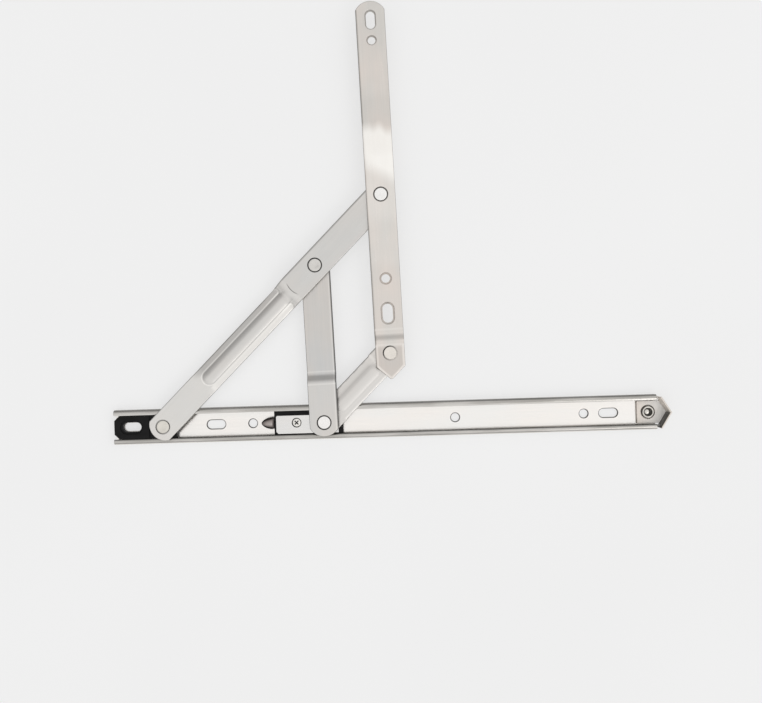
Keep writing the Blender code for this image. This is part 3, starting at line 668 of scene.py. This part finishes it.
def make_long_arm():
    """Ribbed arm; rib and flats run into a step up by a layer, which ends in a bowed crease."""
    rib_start = 38.2
    rib_end = 119.0
    rib_width = 9.2
    flats_end = 111.6
    ramp_start = 108.8
    ramp_end = 119.6
    outline = round_end(LONG_ARM_TO_VENT + ARM_HALF, ARM_HALF, ARM_HALF, 1)
    outline += [(ramp_end, ARM_HALF), (ramp_start, RIBBED_HALF)]
    outline += round_end(-8.0, RIBBED_HALF, 10.2, -1)
    outline += [(ramp_start, -RIBBED_HALF), (ramp_end, -ARM_HALF)]

    def step(x, y):
        bow = 1.2 * (1 - (y / ARM_HALF) ** 2)
        return joggle(x, ramp_start, ramp_end - bow, LAYER_RISE, 0.48)

    def step_foot(x, y):
        """Flats end in a small round-cornered step up to the ramp, as high as the rib's shoulder."""
        end = flats_end - 1.6 * rising(np.abs(np.abs(y) - 6.4), 0.9, 1.2) ** 2
        return 0.26 * smooth(rising(x, end, 0.9)) * smooth(falling(x, ramp_end + 1.0, 8.0))

    def crease_at(x, y):
        """A fine bowed line across the top of the step, fading before the arm's edges."""
        bow = 1.5 * (1 - (y / 6.0) ** 2)
        return np.exp(-((x - 119.2 + bow) / 0.26) ** 2) * np.exp(-(y / 4.4) ** 6)

    def top(x, y):
        rib = pressed_rib(x, y, rib_start, rib_end, rib_width, 1.0) * falling(x, 118.0, 7.0) ** 1.5
        flats = drooped(x, y, rib_start - 4.0, flats_end + 0.5, 0.62)
        return (ARM_TOPS[0] + step(x, y) + np.maximum(rib, step_foot(x, y))
                - 0.15 * crease_at(x, y) - flats)

    def under(x, y):
        hollow = pressed_rib(x, y, rib_start + 0.8, 109.5, 7.6, 0.62)
        return ARM_TOPS[0] - ARM_SHEET + step(x, y) + np.maximum(hollow, 0.0)

    def painted_shading_map(x, y):
        """Painted highlights on the lower flat, the beads, the flats' corners by the step, near the
        pivot and on the ramp; painted shade on the upper flat, the rib's upper flank and lower foot,
        the upper edge and the crease.
        """
        along = band(x, rib_start + 2.0, flats_end - 0.6, 2.5)
        away = off_axis(x, y, rib_start, rib_end, rib_width)
        fading = falling(x, flats_end + 4.0, 4.0)
        upper_flat = rising(y, 5.6, 0.5) * along
        flank = band(away, 1.6, 4.5, 1.2) * rising(y, 0.0, 2.0) * along
        foot = band(away, 4.25, 4.5, 0.3) * (y < 0) * fading
        upper_edge = rising(y, RIBBED_HALF - 0.65, 0.25)
        lower_flat = band(y, -8.3, -5.3, 0.4) * along
        bead = band(away, 4.85, 5.15, 0.35) * fading
        from_corner = np.hypot(np.maximum(x - flats_end + 1.5, 0.0), np.abs(y) - 6.75) - 1.55
        corners = band(from_corner, -0.05, 0.25, 0.35) * rising(x, 98.0, 8.0) * (np.abs(y) > 4.6)
        near_pivot = band(x, -9.0, rib_start, 6.0)
        ramp = band(x, 113.0, 117.5, 1.5) * (1 - bead)
        dull = (0.10 * upper_flat + 0.15 * flank + 0.24 * foot + 0.45 * upper_edge
                + 0.9 * crease_at(x, y))
        bright = (0.42 * lower_flat + 0.5 * bead + 0.55 * corners + 0.22 * near_pivot
                  + 0.16 * ramp)
        return dull - bright

    # Painted shade on the outline's edge and in the rivet seats.
    edges = [edge_of(dense(outline, 0.6), 0.40, painted_shading=0.35), head_seat(0.0, 0.42),
             head_seat(LONG_ARM_TO_BRACE, 0.88), tail_seat(LONG_ARM_TO_VENT)]
    sheet = plate(edges, top, under, 0.45, painted_shading_map=painted_shading_map,
                  extra_columns=np.arange(116.6, 120.0, 0.15))
    make_arm("long_arm", "long_arm", sheet, (0.645, 0.635, 0.615), (0.67, 0.64, 0.61), 0.33, 1.0,
             FIXED_PIVOT, ARM_HEADING)


def make_brace():
    """Plain arm that steps up a layer before the slider."""
    foot = BRACE_LENGTH + 8.7
    ramp_middle = BRACE_LENGTH - 27.7
    outline = round_end(foot, ARM_HALF, 10.0, 1) + round_end(-ARM_HALF, ARM_HALF, ARM_HALF, -1)

    def top(x, y):
        return ARM_TOPS[0] + joggle(x, ramp_middle - 3.0, ramp_middle + 2.9, LAYER_RISE, 0.28)

    def under(x, y):
        return top(x, y) - ARM_SHEET

    def painted_shading_map(x, y):
        """Painted shade on the right edge and a painted highlight beside it; painted highlights on the
        step, brighter at its edges, and beyond it towards the foot.
        """
        right_edge = rising(y, ARM_HALF - 0.80, 0.25)
        beside_it = band(y, ARM_HALF - 1.5, ARM_HALF - 1.2, 0.35)
        along = x - ramp_middle
        return (0.70 * right_edge - 0.4 * beside_it - 0.10 * band(along, -1.6, 1.6, 0.6)
                - 0.35 * band(along, 3.6, 3.9, 0.5) - 0.30 * band(along, -4.1, -3.9, 0.4)
                - 0.10 * band(x, ramp_middle + 5.0, foot + 1.0, 2.0))

    # Heavy painted shade on the outline's edge, and in the head's seat.
    edges = [edge_of(dense(outline, 0.6), 0.40, painted_shading=0.93), tail_seat(0.0),
             head_seat(BRACE_LENGTH, 0.88)]
    make_arm("brace", "brace_arm", plate(edges, top, under, 0.6, painted_shading_map=painted_shading_map), (0.60, 0.595, 0.585),
             (0.635, 0.60, 0.565), 0.36, 11.0, BRACE_PIVOT, BRACE_HEADING)


def make_short_link():
    """Ribbed link: a shallow rib between two waisted shoulders."""
    rib_start = 10.5
    rib_end = 48.0
    waist = [(11.0, ARM_HALF), (11.8, RIBBED_HALF), (48.4, RIBBED_HALF), (49.0, ARM_HALF)]
    outline = round_end(LINK_LENGTH + ARM_HALF, ARM_HALF, ARM_HALF, 1) + waist[::-1]
    outline += round_end(-ARM_HALF, ARM_HALF, ARM_HALF, -1) + [(x, -y) for x, y in waist]

    def top(x, y):
        flats = drooped(x, y, 10.0, 50.0, 0.25)
        return ARM_TOPS[0] + pressed_rib(x, y, rib_start, rib_end, 9.2, 0.62) - flats

    def under(x, y):
        hollow = pressed_rib(x, y, rib_start + 0.8, rib_end - 0.8, 7.6, 0.35)
        return ARM_TOPS[0] - ARM_SHEET + np.maximum(hollow, 0.0)

    def painted_shading_map(x, y):
        """Painted highlights on the lower edge and at the far end of the rib; painted shade on the
        upper edge and the rib's upper flank.
        """
        along = band(x, 11.0, 48.0, 1.0)
        away = off_axis(x, y, rib_start, rib_end, 9.2)
        flank = band(away, 2.2, 4.5, 1.2) * rising(y, 0.0, 2.0) * along
        return (0.13 * flank + 0.45 * rising(y, 7.95, 0.25) - 0.6 * falling(y, -7.2, 0.5) * along
                - 0.25 * band(x, 48.8, 50.0, 0.6))

    # Painted shade on the outline's edge.
    edges = [edge_of(dense(outline, 0.6), painted_shading=0.75), tail_seat(0.0), tail_seat(LINK_LENGTH)]
    make_arm("short_link", "short_link", plate(edges, top, under, 0.55, painted_shading_map=painted_shading_map),
             (0.68, 0.66, 0.635), (0.70, 0.665, 0.63), 0.34, 21.0, SLIDER_PIVOT, ARM_HEADING)


def make_vent_bar():
    """Top bar: round end, screw holes, a step down before its pointed nose."""
    shoulder = 106.0
    nose_length = 8.5
    corners = [(shoulder, -ARM_HALF), (shoulder + nose_length, 0.0), (shoulder, ARM_HALF),
               (30.0, ARM_HALF), (30.0, -ARM_HALF)]
    nose = fillet(corners, (0.7, 1.5, 0.7, 0.7, 0.7))[:3 * FILLET_POINTS]
    outline = nose + round_end(-118.68, ARM_HALF, 10.2, -1)

    def top(x, y):
        return ARM_TOPS[2] - joggle(x, 84.4, 91.6, LAYER_RISE, 0.40)

    def under(x, y):
        return top(x, y) - ARM_SHEET

    def painted_shading_map(x, y):
        """Painted shade on the left edge, the step's ramp and the nose; painted highlights on the
        step's edges, about the pivot and round the nose's rim; a paler patch before the rivet and a
        darker stretch above it.
        """
        wavy = x + 1.1 * np.sin(y / 2.3 + 1.0) + 0.7 * np.sin(y / 1.1)
        patch = (smooth(rising(wavy - 0.25 * y, -44.5, 8.0))
                 * smooth(falling(x - 0.6 * y, -7.0, 15.0)))
        left_edge = falling(y, 0.75 - ARM_HALF, 0.25)
        step_edges = band(x, 83.0, 83.4, 0.8) + band(x, 92.4, 92.8, 0.8)
        from_side = np.abs(y) - 7.9
        lean = nose_length / ARM_HALF
        from_slant = (x - 105.2 + np.abs(y) * lean) / math.hypot(1.0, lean) - 5.6
        nose_rim = band(np.maximum(from_side, from_slant), 0.0, 1.0, 0.3) * (x > 93.0)
        dull = (0.05 * band(x, -56.0, -44.0, 8.0) + 0.10 * band(x, 86.6, 89.6, 1.5)
                + 0.13 * band(x, 95.0, 115.0, 2.0) + 0.45 * left_edge)
        bright = (0.88 * patch + 0.22 * step_edges + 0.10 * band(x, -18.0, 40.0, 8.0)
                  + 0.16 * band(x, -16.0, 8.0, 14.0) + 0.45 * nose_rim)
        return dull - bright

    # Painted shade on the outline's edge, in the rivet seats, and a little in the slot and hole by the
    # round end.
    edges = [edge_of(dense(outline, 0.6), 0.38, painted_shading=0.6), head_seat(0.0, 0.82),
             head_seat(BRACE_LENGTH, 0.95, lighter_towards=50.0),
             countersunk(slot((-107.2, 0.0), 10.8, 5.4), 0.7, 0.7, 0.15),
             countersunk(circle((-94.6, 0.0), 2.4), 0.7, 0.7, 0.15),
             countersunk(circle((51.8, 0.0), 2.6), 1.2, 1.1),
             countersunk(slot((73.2, 0.0), 11.6, 6.2), 1.2, 1.1)]
    make_arm("vent_bar", "vent_bar", plate(edges, top, under, 0.6, painted_shading_map=painted_shading_map), (0.67, 0.645, 0.61),
             (0.735, 0.67, 0.62), 0.33, 31.0, VENT_PIVOT, BRACE_HEADING)


# ---- rivets ----
def make_rivet(node_name, body, place, top, bottom, seed, dish, gloss, tone):
    """A flush rivet: flat head with a soft rim, a faint turned dish, a shank and a tail."""
    rim = 0.22
    head = 0.7
    shank = 2.4
    tail = 3.5
    profile = [(0.0, top - dish), (0.9, top - dish * 0.95), (1.6, top - dish * 0.7),
               (2.2, top - dish * 0.25), (2.7, top), (HEAD_RADIUS - 2 * rim, top)]
    for angle in np.linspace(0.0, math.pi / 2, 5):
        profile.append((HEAD_RADIUS - rim + rim * math.sin(angle), top - rim + rim * math.cos(angle)))
    profile += [(HEAD_RADIUS, top - head), (shank, top - head), (shank, bottom + 0.5),
                (tail, bottom + 0.5), (tail, bottom + 0.12), (tail - 0.12, bottom), (0.0, bottom)]
    name = node_name + "_head"
    make_object(name, node_name, [lathe(profile)], turned_steel(name + "_steel", tone, gloss, seed),
                body, place)


def make_rivets():
    """Each pivot's rivet: its head is flush in an arm, and its tail is in the layer below."""
    clearance = 0.1
    for node_name, body, place, layer, seed, dish, gloss, tone in (
            ("pivot_rivet", "track", FIXED_PIVOT, 0, 2.0, 0.10, 0.30, (0.72, 0.69, 0.63)),
            ("brace_rivet", "long_arm", BRACE_PIVOT, 1, 3.0, 0.22, 0.26, (0.66, 0.64, 0.61)),
            ("vent_rivet", "long_arm", VENT_PIVOT, 2, 4.0, 0.05, 0.18, (0.88, 0.865, 0.845)),
            ("slider_rivet", "brace", SLIDER_PIVOT, 1, 5.0, 0.04, 0.18, (0.88, 0.86, 0.84)),
            ("link_rivet", "vent_bar", LINK_PIVOT, 1, 6.0, 0.06, 0.24, (0.78, 0.735, 0.68))):
        under = ARM_TOPS[layer - 1] - ARM_SHEET if layer else 0.0
        make_rivet(node_name, body, place, ARM_TOPS[layer] - clearance, under + clearance, seed, dish,
                   gloss, tone)


# ---- the track ----
FLOOR_HALF = 9.3            # flat part of the track's floor
FLOOR_BEND = 1.1            # radii to the middle of the sheet
LIP_CURL = 1.55
LIP_TURN = math.radians(112.0)      # the lip curls past level, so its inner edge dips
LIP_FLAT = 0.72
FLOOR_BEND_LENGTH = FLOOR_BEND * math.pi / 2
LIP_CURL_LENGTH = LIP_CURL * LIP_TURN
WALL_LENGTH = TRACK_HIGH.z - FLOOR_BEND - LIP_CURL - TRACK_SHEET
WALL_START = FLOOR_HALF + FLOOR_BEND_LENGTH
CURL_START = WALL_START + WALL_LENGTH
STRIP_HALF = CURL_START + LIP_CURL_LENGTH + LIP_FLAT


def roll_form(points):
    """Bend a flat strip into the track: y runs round the section, z through the sheet."""
    x, around, through = points.T
    side = np.sign(around)
    s = np.abs(around)
    depth = through - TRACK_SHEET / 2
    first = rising(s, FLOOR_HALF, FLOOR_BEND_LENGTH) * math.pi / 2
    wall = np.clip(s - WALL_START, 0.0, WALL_LENGTH)
    second = rising(s, CURL_START, LIP_CURL_LENGTH) * LIP_TURN
    flat = np.clip(s - CURL_START - LIP_CURL_LENGTH, 0.0, None)
    y = (np.minimum(s, FLOOR_HALF) + FLOOR_BEND * np.sin(first)
         - LIP_CURL * (1 - np.cos(second)) - flat * math.sin(LIP_TURN))
    z = (TRACK_SHEET / 2 + FLOOR_BEND * (1 - np.cos(first)) + wall + LIP_CURL * np.sin(second)
         + flat * math.cos(LIP_TURN))
    turned_by = first + second
    y -= depth * np.sin(turned_by)
    z += depth * np.cos(turned_by)
    return np.column_stack([x, y * side, z])


def bend_stations():
    """Places round the strip where the track's mesh is cut: close in the bends, wide on the flats."""
    curl_end = CURL_START + LIP_CURL_LENGTH
    flats_and_bends = ((0.0, FLOOR_HALF, 7), (FLOOR_HALF, WALL_START, 8), (WALL_START, CURL_START, 2),
                       (CURL_START, curl_end, 12))
    half = [0.0]
    for start, end, count in flats_and_bends:
        half += list(np.linspace(start, end, count + 1)[1:])
    return np.array([-place for place in half[:0:-1]] + half)


def strip_outline(start, end, stations):
    """The track's outline before it is bent, with a point at each station across its ends."""
    points = fillet([(start, -STRIP_HALF), (end, -STRIP_HALF), (end, STRIP_HALF),
                     (start, STRIP_HALF)], 0.35)
    marked = []
    for here, after in zip(points, points[1:] + points[:1]):
        marked.append(here)
        if abs(here[1] - after[1]) > STRIP_HALF:
            way = 1 if after[1] > here[1] else -1
            marked += [(here[0], y) for y in stations[::way]]
    return dense(marked, 2.0)


def make_track():
    """Roll-formed channel with countersunk holes and slots in its floor."""
    stations = bend_stations()
    edges = [edge_of(strip_outline(TRACK_LOW.x + 0.05, TRACK_HIGH.x - 0.05, stations), 0.22, 0.22)]
    holes = [circle((PIVOT_X + distance, 0.0), 2.6) for distance in (55.5, 183.3, 263.8)]
    holes += [slot((PIVOT_X + distance, 0.0), 11.5, 5.4) for distance in (32.1, 279.1)]
    # Painted shade in the countersinks and down the holes' walls.
    edges += [countersunk(hole, 0.45, 0.45, 0.78) for hole in holes]
    edges.append(punched(slot((PIVOT_X - 20.8, 0.0), 11.0, 5.2)))
    edges += [punched(circle((x, 0.0), SHANK_HOLE)) for x in (PIVOT_X, RECEIVER_RIVET_X)]

    def painted_shading_map(x, around):
        """Painted shade on the upper wall and the lower lip's edge, and painted highlights on the upper
        lip's edge and the lower wall.
        """
        s = np.abs(around)
        curl = band(s, CURL_START - 0.4, CURL_START + 1.0, 0.5)
        rim = band(s, STRIP_HALF - 0.5, STRIP_HALF + 0.1, 0.35)
        return np.where(around > 0.0, 0.55 * curl - 0.45 * rim, 0.88 * rim - 0.90 * curl)

    strip = plate(edges, level(TRACK_SHEET), level(0.0), bend=roll_form, rows=stations,
                  column_spacing=2.0, painted_shading_map=painted_shading_map)
    finish = steel("track_steel_finish", (0.875, 0.86, 0.835), (0.90, 0.86, 0.82), 0.22, 41.0,
                   paint_lips_darker=True)
    make_object("track_strip", "track_channel", [strip], finish, "track")


def make_nose_receiver():
    """Pressed keep: a flat plate, and a V wall that takes the vent bar's nose."""
    lean = math.radians(58.0)
    apex = RECEIVER_HIGH.x - 0.02
    sheet = 1.0
    reach = 9.95
    along = Vector((-math.cos(lean), math.sin(lean)))
    inward = Vector((-math.sin(lean), -math.cos(lean)))
    end = Vector((apex, 0.0)) + along * (reach / math.sin(lean))
    inner_end = end + inward * sheet
    inner_apex = apex - sheet / math.sin(lean)
    wall = fillet([(apex, 0.0), tuple(end), tuple(inner_end), (inner_apex, 0.0),
                   (inner_end.x, -inner_end.y), (end.x, -end.y)], 0.45)
    rim = dense(wall, 0.5)
    along_rim = np.roll(rim, -1, 0) - np.roll(rim, 1, 0)
    # Painted shade on the V wall's lower inner face, and a painted highlight on its upper one.
    inner_face_shading = np.where(along_rim[:, 1] < 0.0, np.where(rim[:, 1] > 0.0, -0.3, 0.88), 0.0)
    wall_part = plate([edge_of(rim, 0.26, painted_shading=inner_face_shading)], level(RECEIVER_HIGH.z - 0.02),
                      level(1.75), 0.5)
    half = 7.0
    front = PIVOT_X + 296.4
    back = inner_apex + 0.1
    shoulder = back - half / math.tan(lean)
    foot = [(front, -half), (shoulder, -half), (back, 0.0), (shoulder, half), (front, half)]
    ring_seat = circle((RECEIVER_RIVET_X, 0.0), 4.0)[::-1]
    ring_depth = quarter_round(0.10, at=0.40, steps=3) + [(0.38, 0.5), (0.0, 0.55)]
    # Painted shade in the rivet's seat ring, lightest towards the lower left.
    ring_painted_shade = 0.75 * one_sided(ring_seat, RECEIVER_RIVET_X, -135.0, 0.55, 0.45)
    foot_edges = [edge_of(dense(fillet(foot, 0.5), 0.6), 0.25, painted_shading=0.15),
                  (ring_seat, ring_depth, CRISP_EDGE, ring_painted_shade)]

    def painted_shading_map(x, y):
        """Painted light: paler towards the wall, against the shade that falls there."""
        from_wall = (inner_apex - np.abs(y) / math.tan(lean) - x) * math.sin(lean)
        return -np.clip(1.15 - from_wall / 11.0, 0.0, 1.0)

    foot_part = plate(foot_edges, level(3.0), level(1.52), 0.6, painted_shading_map=painted_shading_map)
    pressed = steel("receiver_steel_finish", (0.63, 0.59, 0.535), (0.70, 0.635, 0.58), 0.30, 51.0)
    # The foot's copy of the finish is paler and not metallic, so that it reads lighter against the
    # wall's shade: painted light.
    paler_foot_finish = steel("receiver_foot_painted_lighter", (0.80, 0.735, 0.665), (0.86, 0.78, 0.71), 0.50, 53.0,
                  metal=0.0)
    receiver = make_object("receiver_plate", "nose_receiver", [wall_part, foot_part], pressed, "track")
    receiver.data.materials.append(paler_foot_finish)
    for face in receiver.data.polygons:
        face.material_index = 1 if face.index >= len(wall_part[1]) else 0


def make_receiver_rivet():
    """Semi-tubular rivet: its hollow end is rolled over in a smooth ring."""
    base = 3.25
    top = 4.3
    outer = 3.9
    bore = 2.35
    roll = (outer - bore) / 2
    middle = (outer + bore) / 2
    profile = [(0.0, 2.1), (1.0, 2.05), (bore - 0.5, 1.8), (bore - 0.2, 1.7), (bore, 1.8)]
    for angle in np.linspace(-math.pi / 2, math.pi / 2, 17):
        profile.append((middle + roll * math.sin(angle), base + (top - base) * math.cos(angle)))
    profile += [(2.6, base), (2.6, 0.4), (3.5, 0.4), (3.5, 0.1), (0.0, 0.1)]
    vertices, faces, dark = lathe(profile)
    from_axis = np.hypot(vertices[:, 0], vertices[:, 1])
    height = vertices[:, 2]
    # Painted shade down the bore and round the foot of the roll; the middle of the bore's floor keeps
    # none.
    bore_side = (from_axis > 1.1) & (from_axis < bore + 0.12) & (height > 1.0)
    dark = np.where(from_axis < 1.1, 0.0, np.where(bore_side, 0.8, dark))
    dark = np.where((height < base + 0.35) & (from_axis > middle), 0.7, dark)
    make_object("receiver_rivet_roll", "receiver_rivet", [(vertices, faces, dark)],
                turned_steel("receiver_rivet_steel", (0.72, 0.69, 0.64), 0.2, 8.0), "track",
                (RECEIVER_RIVET_X, 0.0))


# ---- the slider ----
def make_slider_plate():
    """Thin stainless cover with clipped corners, and holes for the screw and the stud."""
    start = SLIDER_PIVOT.x - 30.7
    end = SLIDER_PIVOT.x + 8.5
    low = -6.8
    high = 4.6
    clip = 1.3
    outline = [(start + clip, low), (end, low), (end, high), (start + clip / 2, high),
               (start, high - clip / 2), (start, low + clip)]
    edges = [edge_of(dense(fillet(outline, 0.25), 0.6), 0.16, 0.1),
             punched(circle(tuple(SCREW_PIVOT), 3.0), 0.25),
             punched(circle(tuple(SLIDER_PIVOT), 3.1))]
    make_object("slider_cover", "slider_plate", [plate(edges, level(5.9), level(5.3))],
                steel("slider_cover_steel", (0.76, 0.75, 0.735), (0.79, 0.755, 0.72), 0.25, 61.0),
                "slider")


def make_friction_screw():
    """Domed screw with a tapered cross recess."""
    head = 2.6
    top = 5.8
    arm = 1.55
    thin = 0.34
    cross = []
    for quarter in range(4):
        angle = math.radians(45.0 + 90.0 * quarter)
        for x, y in ((thin, -thin), (arm, -thin), (arm, thin)):
            cross.append((x * math.cos(angle) - y * math.sin(angle),
                          x * math.sin(angle) + y * math.cos(angle)))

    def dome(x, y):
        return top - 0.28 * (x * x + y * y) / (head * head)

    recess_depth = [(0.16, 0.0), (0.06, 0.03), (0.0, 0.15), (-0.08, 0.8)]
    # Painted shade in the cross recess and on the shank, and a little round the head's rim.
    recess = (dense(cross, 0.2)[::-1], recess_depth, [(-0.08, 0.0)], PAINTED_RECESS_SHADE)
    rim = (circle((0.0, 0.0), head), quarter_round(0.25), quarter_round(0.05, steps=2)[::-1], 0.12)
    head_part = plate([rim, recess], dome, level(4.8), 0.3)
    vertices, faces, _ = lathe([(0.0, 4.85), (1.7, 4.85), (1.7, 2.95), (0.0, 2.95)], 48)
    shank = (vertices, faces, np.full(len(vertices), PAINTED_RECESS_SHADE))
    make_object("friction_screw_head", "friction_screw", [head_part, shank],
                turned_steel("friction_screw_steel", (0.80, 0.78, 0.74), 0.22, 9.0), "adjuster",
                SCREW_PIVOT)


def make_slider_nose():
    """Bullet-shaped lead: a smooth flattened ogive with a shoulder band, with a painted highlight along
    its crown, and painted shade below its top, at its sides, towards its tip and on its shoulder band
    and ends.
    """
    low, high = box_of("slider_nose")
    length = SLIDER_PIVOT.x - 32.2 - low.x
    centre_z = (low.z + high.z) / 2
    half_width = (high.y - low.y) / 2
    half_height = (high.z - low.z) / 2
    ring_count = 26
    steps = 56
    end_painted_shade = 0.7
    vertices = [(low.x, 0.0, centre_z)]
    dark = [end_painted_shade]
    rings = [[0]]
    for ring in range(1, ring_count + 1):
        part_way = ring / ring_count
        grown = math.sin(math.pi / 2 * min(1.0, part_way ** 1.15 * 1.02)) ** 0.95
        size = grown * (0.94 if part_way > 0.955 else 1.0)
        rings.append(range(len(vertices), len(vertices) + steps))
        for step in range(steps):
            angle = 2 * math.pi * step / steps
            across = math.copysign(abs(math.cos(angle)) ** 0.85, math.cos(angle))
            up = math.copysign(abs(math.sin(angle)) ** 0.85, math.sin(angle))
            vertices.append((low.x + length * part_way ** 1.8, across * half_width * size,
                             centre_z + up * half_height * size))
            # A painted highlight along the crown, and painted shade below the top, at the sides and
            # towards the tip.
            crown = 0.30 * max(0.0, 1.0 - abs(across + 0.15) / 0.45) * part_way
            painted_edge_shade = max(0.0, 3.4 - 3.5 * up) + 0.6 * (1.0 - grown) + 0.5 * abs(across) ** 2
            dark.append(min(0.9, painted_edge_shade - crown) if ring < ring_count - 1 else end_painted_shade)
    rings.append([len(vertices)])
    vertices.append((low.x + length, 0.0, centre_z))
    dark.append(end_painted_shade)
    make_object("slider_bullet", "slider_nose", [(np.array(vertices), skin(rings[::-1]), dark)],
                sintered("slider_nose_finish", (0.27, 0.235, 0.222), 0.24, 10.0), "slider")


# ---- CAD nodes that keep their shape ----
def finish_node(name, material, edge):
    """A CAD node's own mesh, with its finish and softened edges."""
    held = frame["nodes"][name]
    held.data.materials.clear()
    held.data.materials.append(material)
    weld = held.modifiers.new("weld", "WELD")
    weld.merge_threshold = 0.002 * MM
    bevel = held.modifiers.new("soft_edges", "BEVEL")
    bevel.width = edge * MM
    bevel.segments = 3
    bevel.limit_method = "ANGLE"
    bevel.angle_limit = math.radians(40.0)
    held.data.shade_smooth()
    held.data.set_sharp_from_angle(angle=SHARP_ANGLE)


def finish_frame_nodes():
    """Nylon, brass and steel for the plain pieces that keep their CAD shape."""
    black = (0.0060, 0.0058, 0.0058)
    for name, gloss, seed, edge in (("end_block", 0.42, 12.0, 0.22), ("pivot_spacer", 0.45, 13.0, 0.15),
                                    ("slider_body", 0.45, 14.0, 0.15)):
        finish_node(name, moulded_nylon(name + "_nylon", black, gloss, seed, 0.12), edge)
    pale = moulded_nylon("washer_nylon", (0.72, 0.71, 0.67), 0.45, 15.0)
    for name in ("pivot_washer", "brace_washer", "vent_washer", "slider_washer", "link_washer"):
        finish_node(name, pale, 0.06)
    finish_node("friction_pad", sintered("friction_pad_brass", (0.62, 0.45, 0.19), 0.32, 16.0), 0.06)
    finish_node("slider_stud", turned_steel("slider_stud_steel", (0.78, 0.76, 0.73), 0.22, 17.0), 0.10)


# ---- floor, light, camera ----
WHITE = (1.0, 1.0, 1.0, 1.0)


def make_floor():
    """A matt white table that glows a little, so that shadows stay faint."""
    bpy.ops.mesh.primitive_plane_add(size=6.0, location=(0.0, 0.0, -0.05 * MM))
    floor = bpy.context.object
    floor.name = "floor"
    material, tree, shader = new_material("floor_matt")
    paper = noise(tree, (3.0, 3.0, 3.0), 60.0, detail=2.0)
    tree.links.new(blend_colours(tree, spread(tree, paper, 0.0, 1.0), (0.325, 0.325, 0.325),
                                 (0.345, 0.345, 0.345)), shader.inputs["Base Color"])
    shader.inputs["Roughness"].default_value = 0.9
    shader.inputs["Specular IOR Level"].default_value = 0.1
    shader.inputs["Emission Color"].default_value = WHITE
    shader.inputs["Emission Strength"].default_value = 0.575
    floor.data.materials.append(material)


def make_softbox():
    """A large warm light on the lower right, aimed at the middle of the stay."""
    light = bpy.data.lights.new("softbox", "AREA")
    light.shape = "RECTANGLE"
    light.size = 0.9
    light.size_y = 0.7
    light.energy = 3.0
    light.color = (1.0, 0.985, 0.965)
    softbox = bpy.data.objects.new("softbox", light)
    bpy.context.scene.collection.objects.link(softbox)
    softbox.location = (1.0, -0.9, 1.6)
    facing = Vector((0.0, 0.08, 0.0)) - softbox.location
    softbox.rotation_euler = facing.to_track_quat("-Z", "Y").to_euler()


def make_room():
    """A pale room that is brighter overhead and to the lower right."""
    world = bpy.data.worlds.new("studio")
    bpy.context.scene.world = world
    world.use_nodes = True
    tree = world.node_tree
    background = tree.nodes["Background"]
    coordinates = node(tree, "ShaderNodeTexCoord")
    apart = node(tree, "ShaderNodeSeparateXYZ")
    tree.links.new(coordinates.outputs["Generated"], apart.inputs["Vector"])
    overhead = eased(tree, apart.outputs["Z"], 0.0, 0.85, 0.40, 1.0)
    sideways = maths(tree, "SUBTRACT", maths(tree, "MULTIPLY", apart.outputs["X"], 0.8),
                     maths(tree, "MULTIPLY", apart.outputs["Y"], 0.6))
    lean = maths(tree, "MULTIPLY", eased(tree, sideways, -0.75, -0.22, 0.58, 1.0),
                 eased(tree, sideways, 0.20, 0.6, 1.0, 1.10))
    tree.links.new(maths(tree, "MULTIPLY", overhead, lean), background.inputs["Strength"])
    background.inputs["Color"].default_value = WHITE
    bpy.context.scene.view_settings.view_transform = "Standard"


def make_camera():
    """Looks down on the stay from 500 mm above the floor, tilted by a degree or two."""
    camera_data = bpy.data.cameras.new("camera")
    camera_data.sensor_width = 36.0
    camera_data.lens = 37.37
    camera_data.clip_start = 0.01
    camera = bpy.data.objects.new("camera", camera_data)
    bpy.context.scene.collection.objects.link(camera)
    tilt = Vector((math.radians(0.31), math.radians(-1.367), math.radians(1.817)))
    world_to_camera = Matrix.Rotation(tilt.length, 4, tilt.normalized())
    camera.matrix_world = Matrix.Translation((0.0118, 0.0454, 0.500)) @ world_to_camera.inverted()
    bpy.context.scene.camera = camera


make_camera()
make_floor()
make_softbox()
make_room()
make_track()
make_nose_receiver()
make_receiver_rivet()
make_slider_plate()
make_slider_nose()
make_friction_screw()
make_long_arm()
make_brace()
make_short_link()
make_vent_bar()
make_rivets()
finish_frame_nodes()
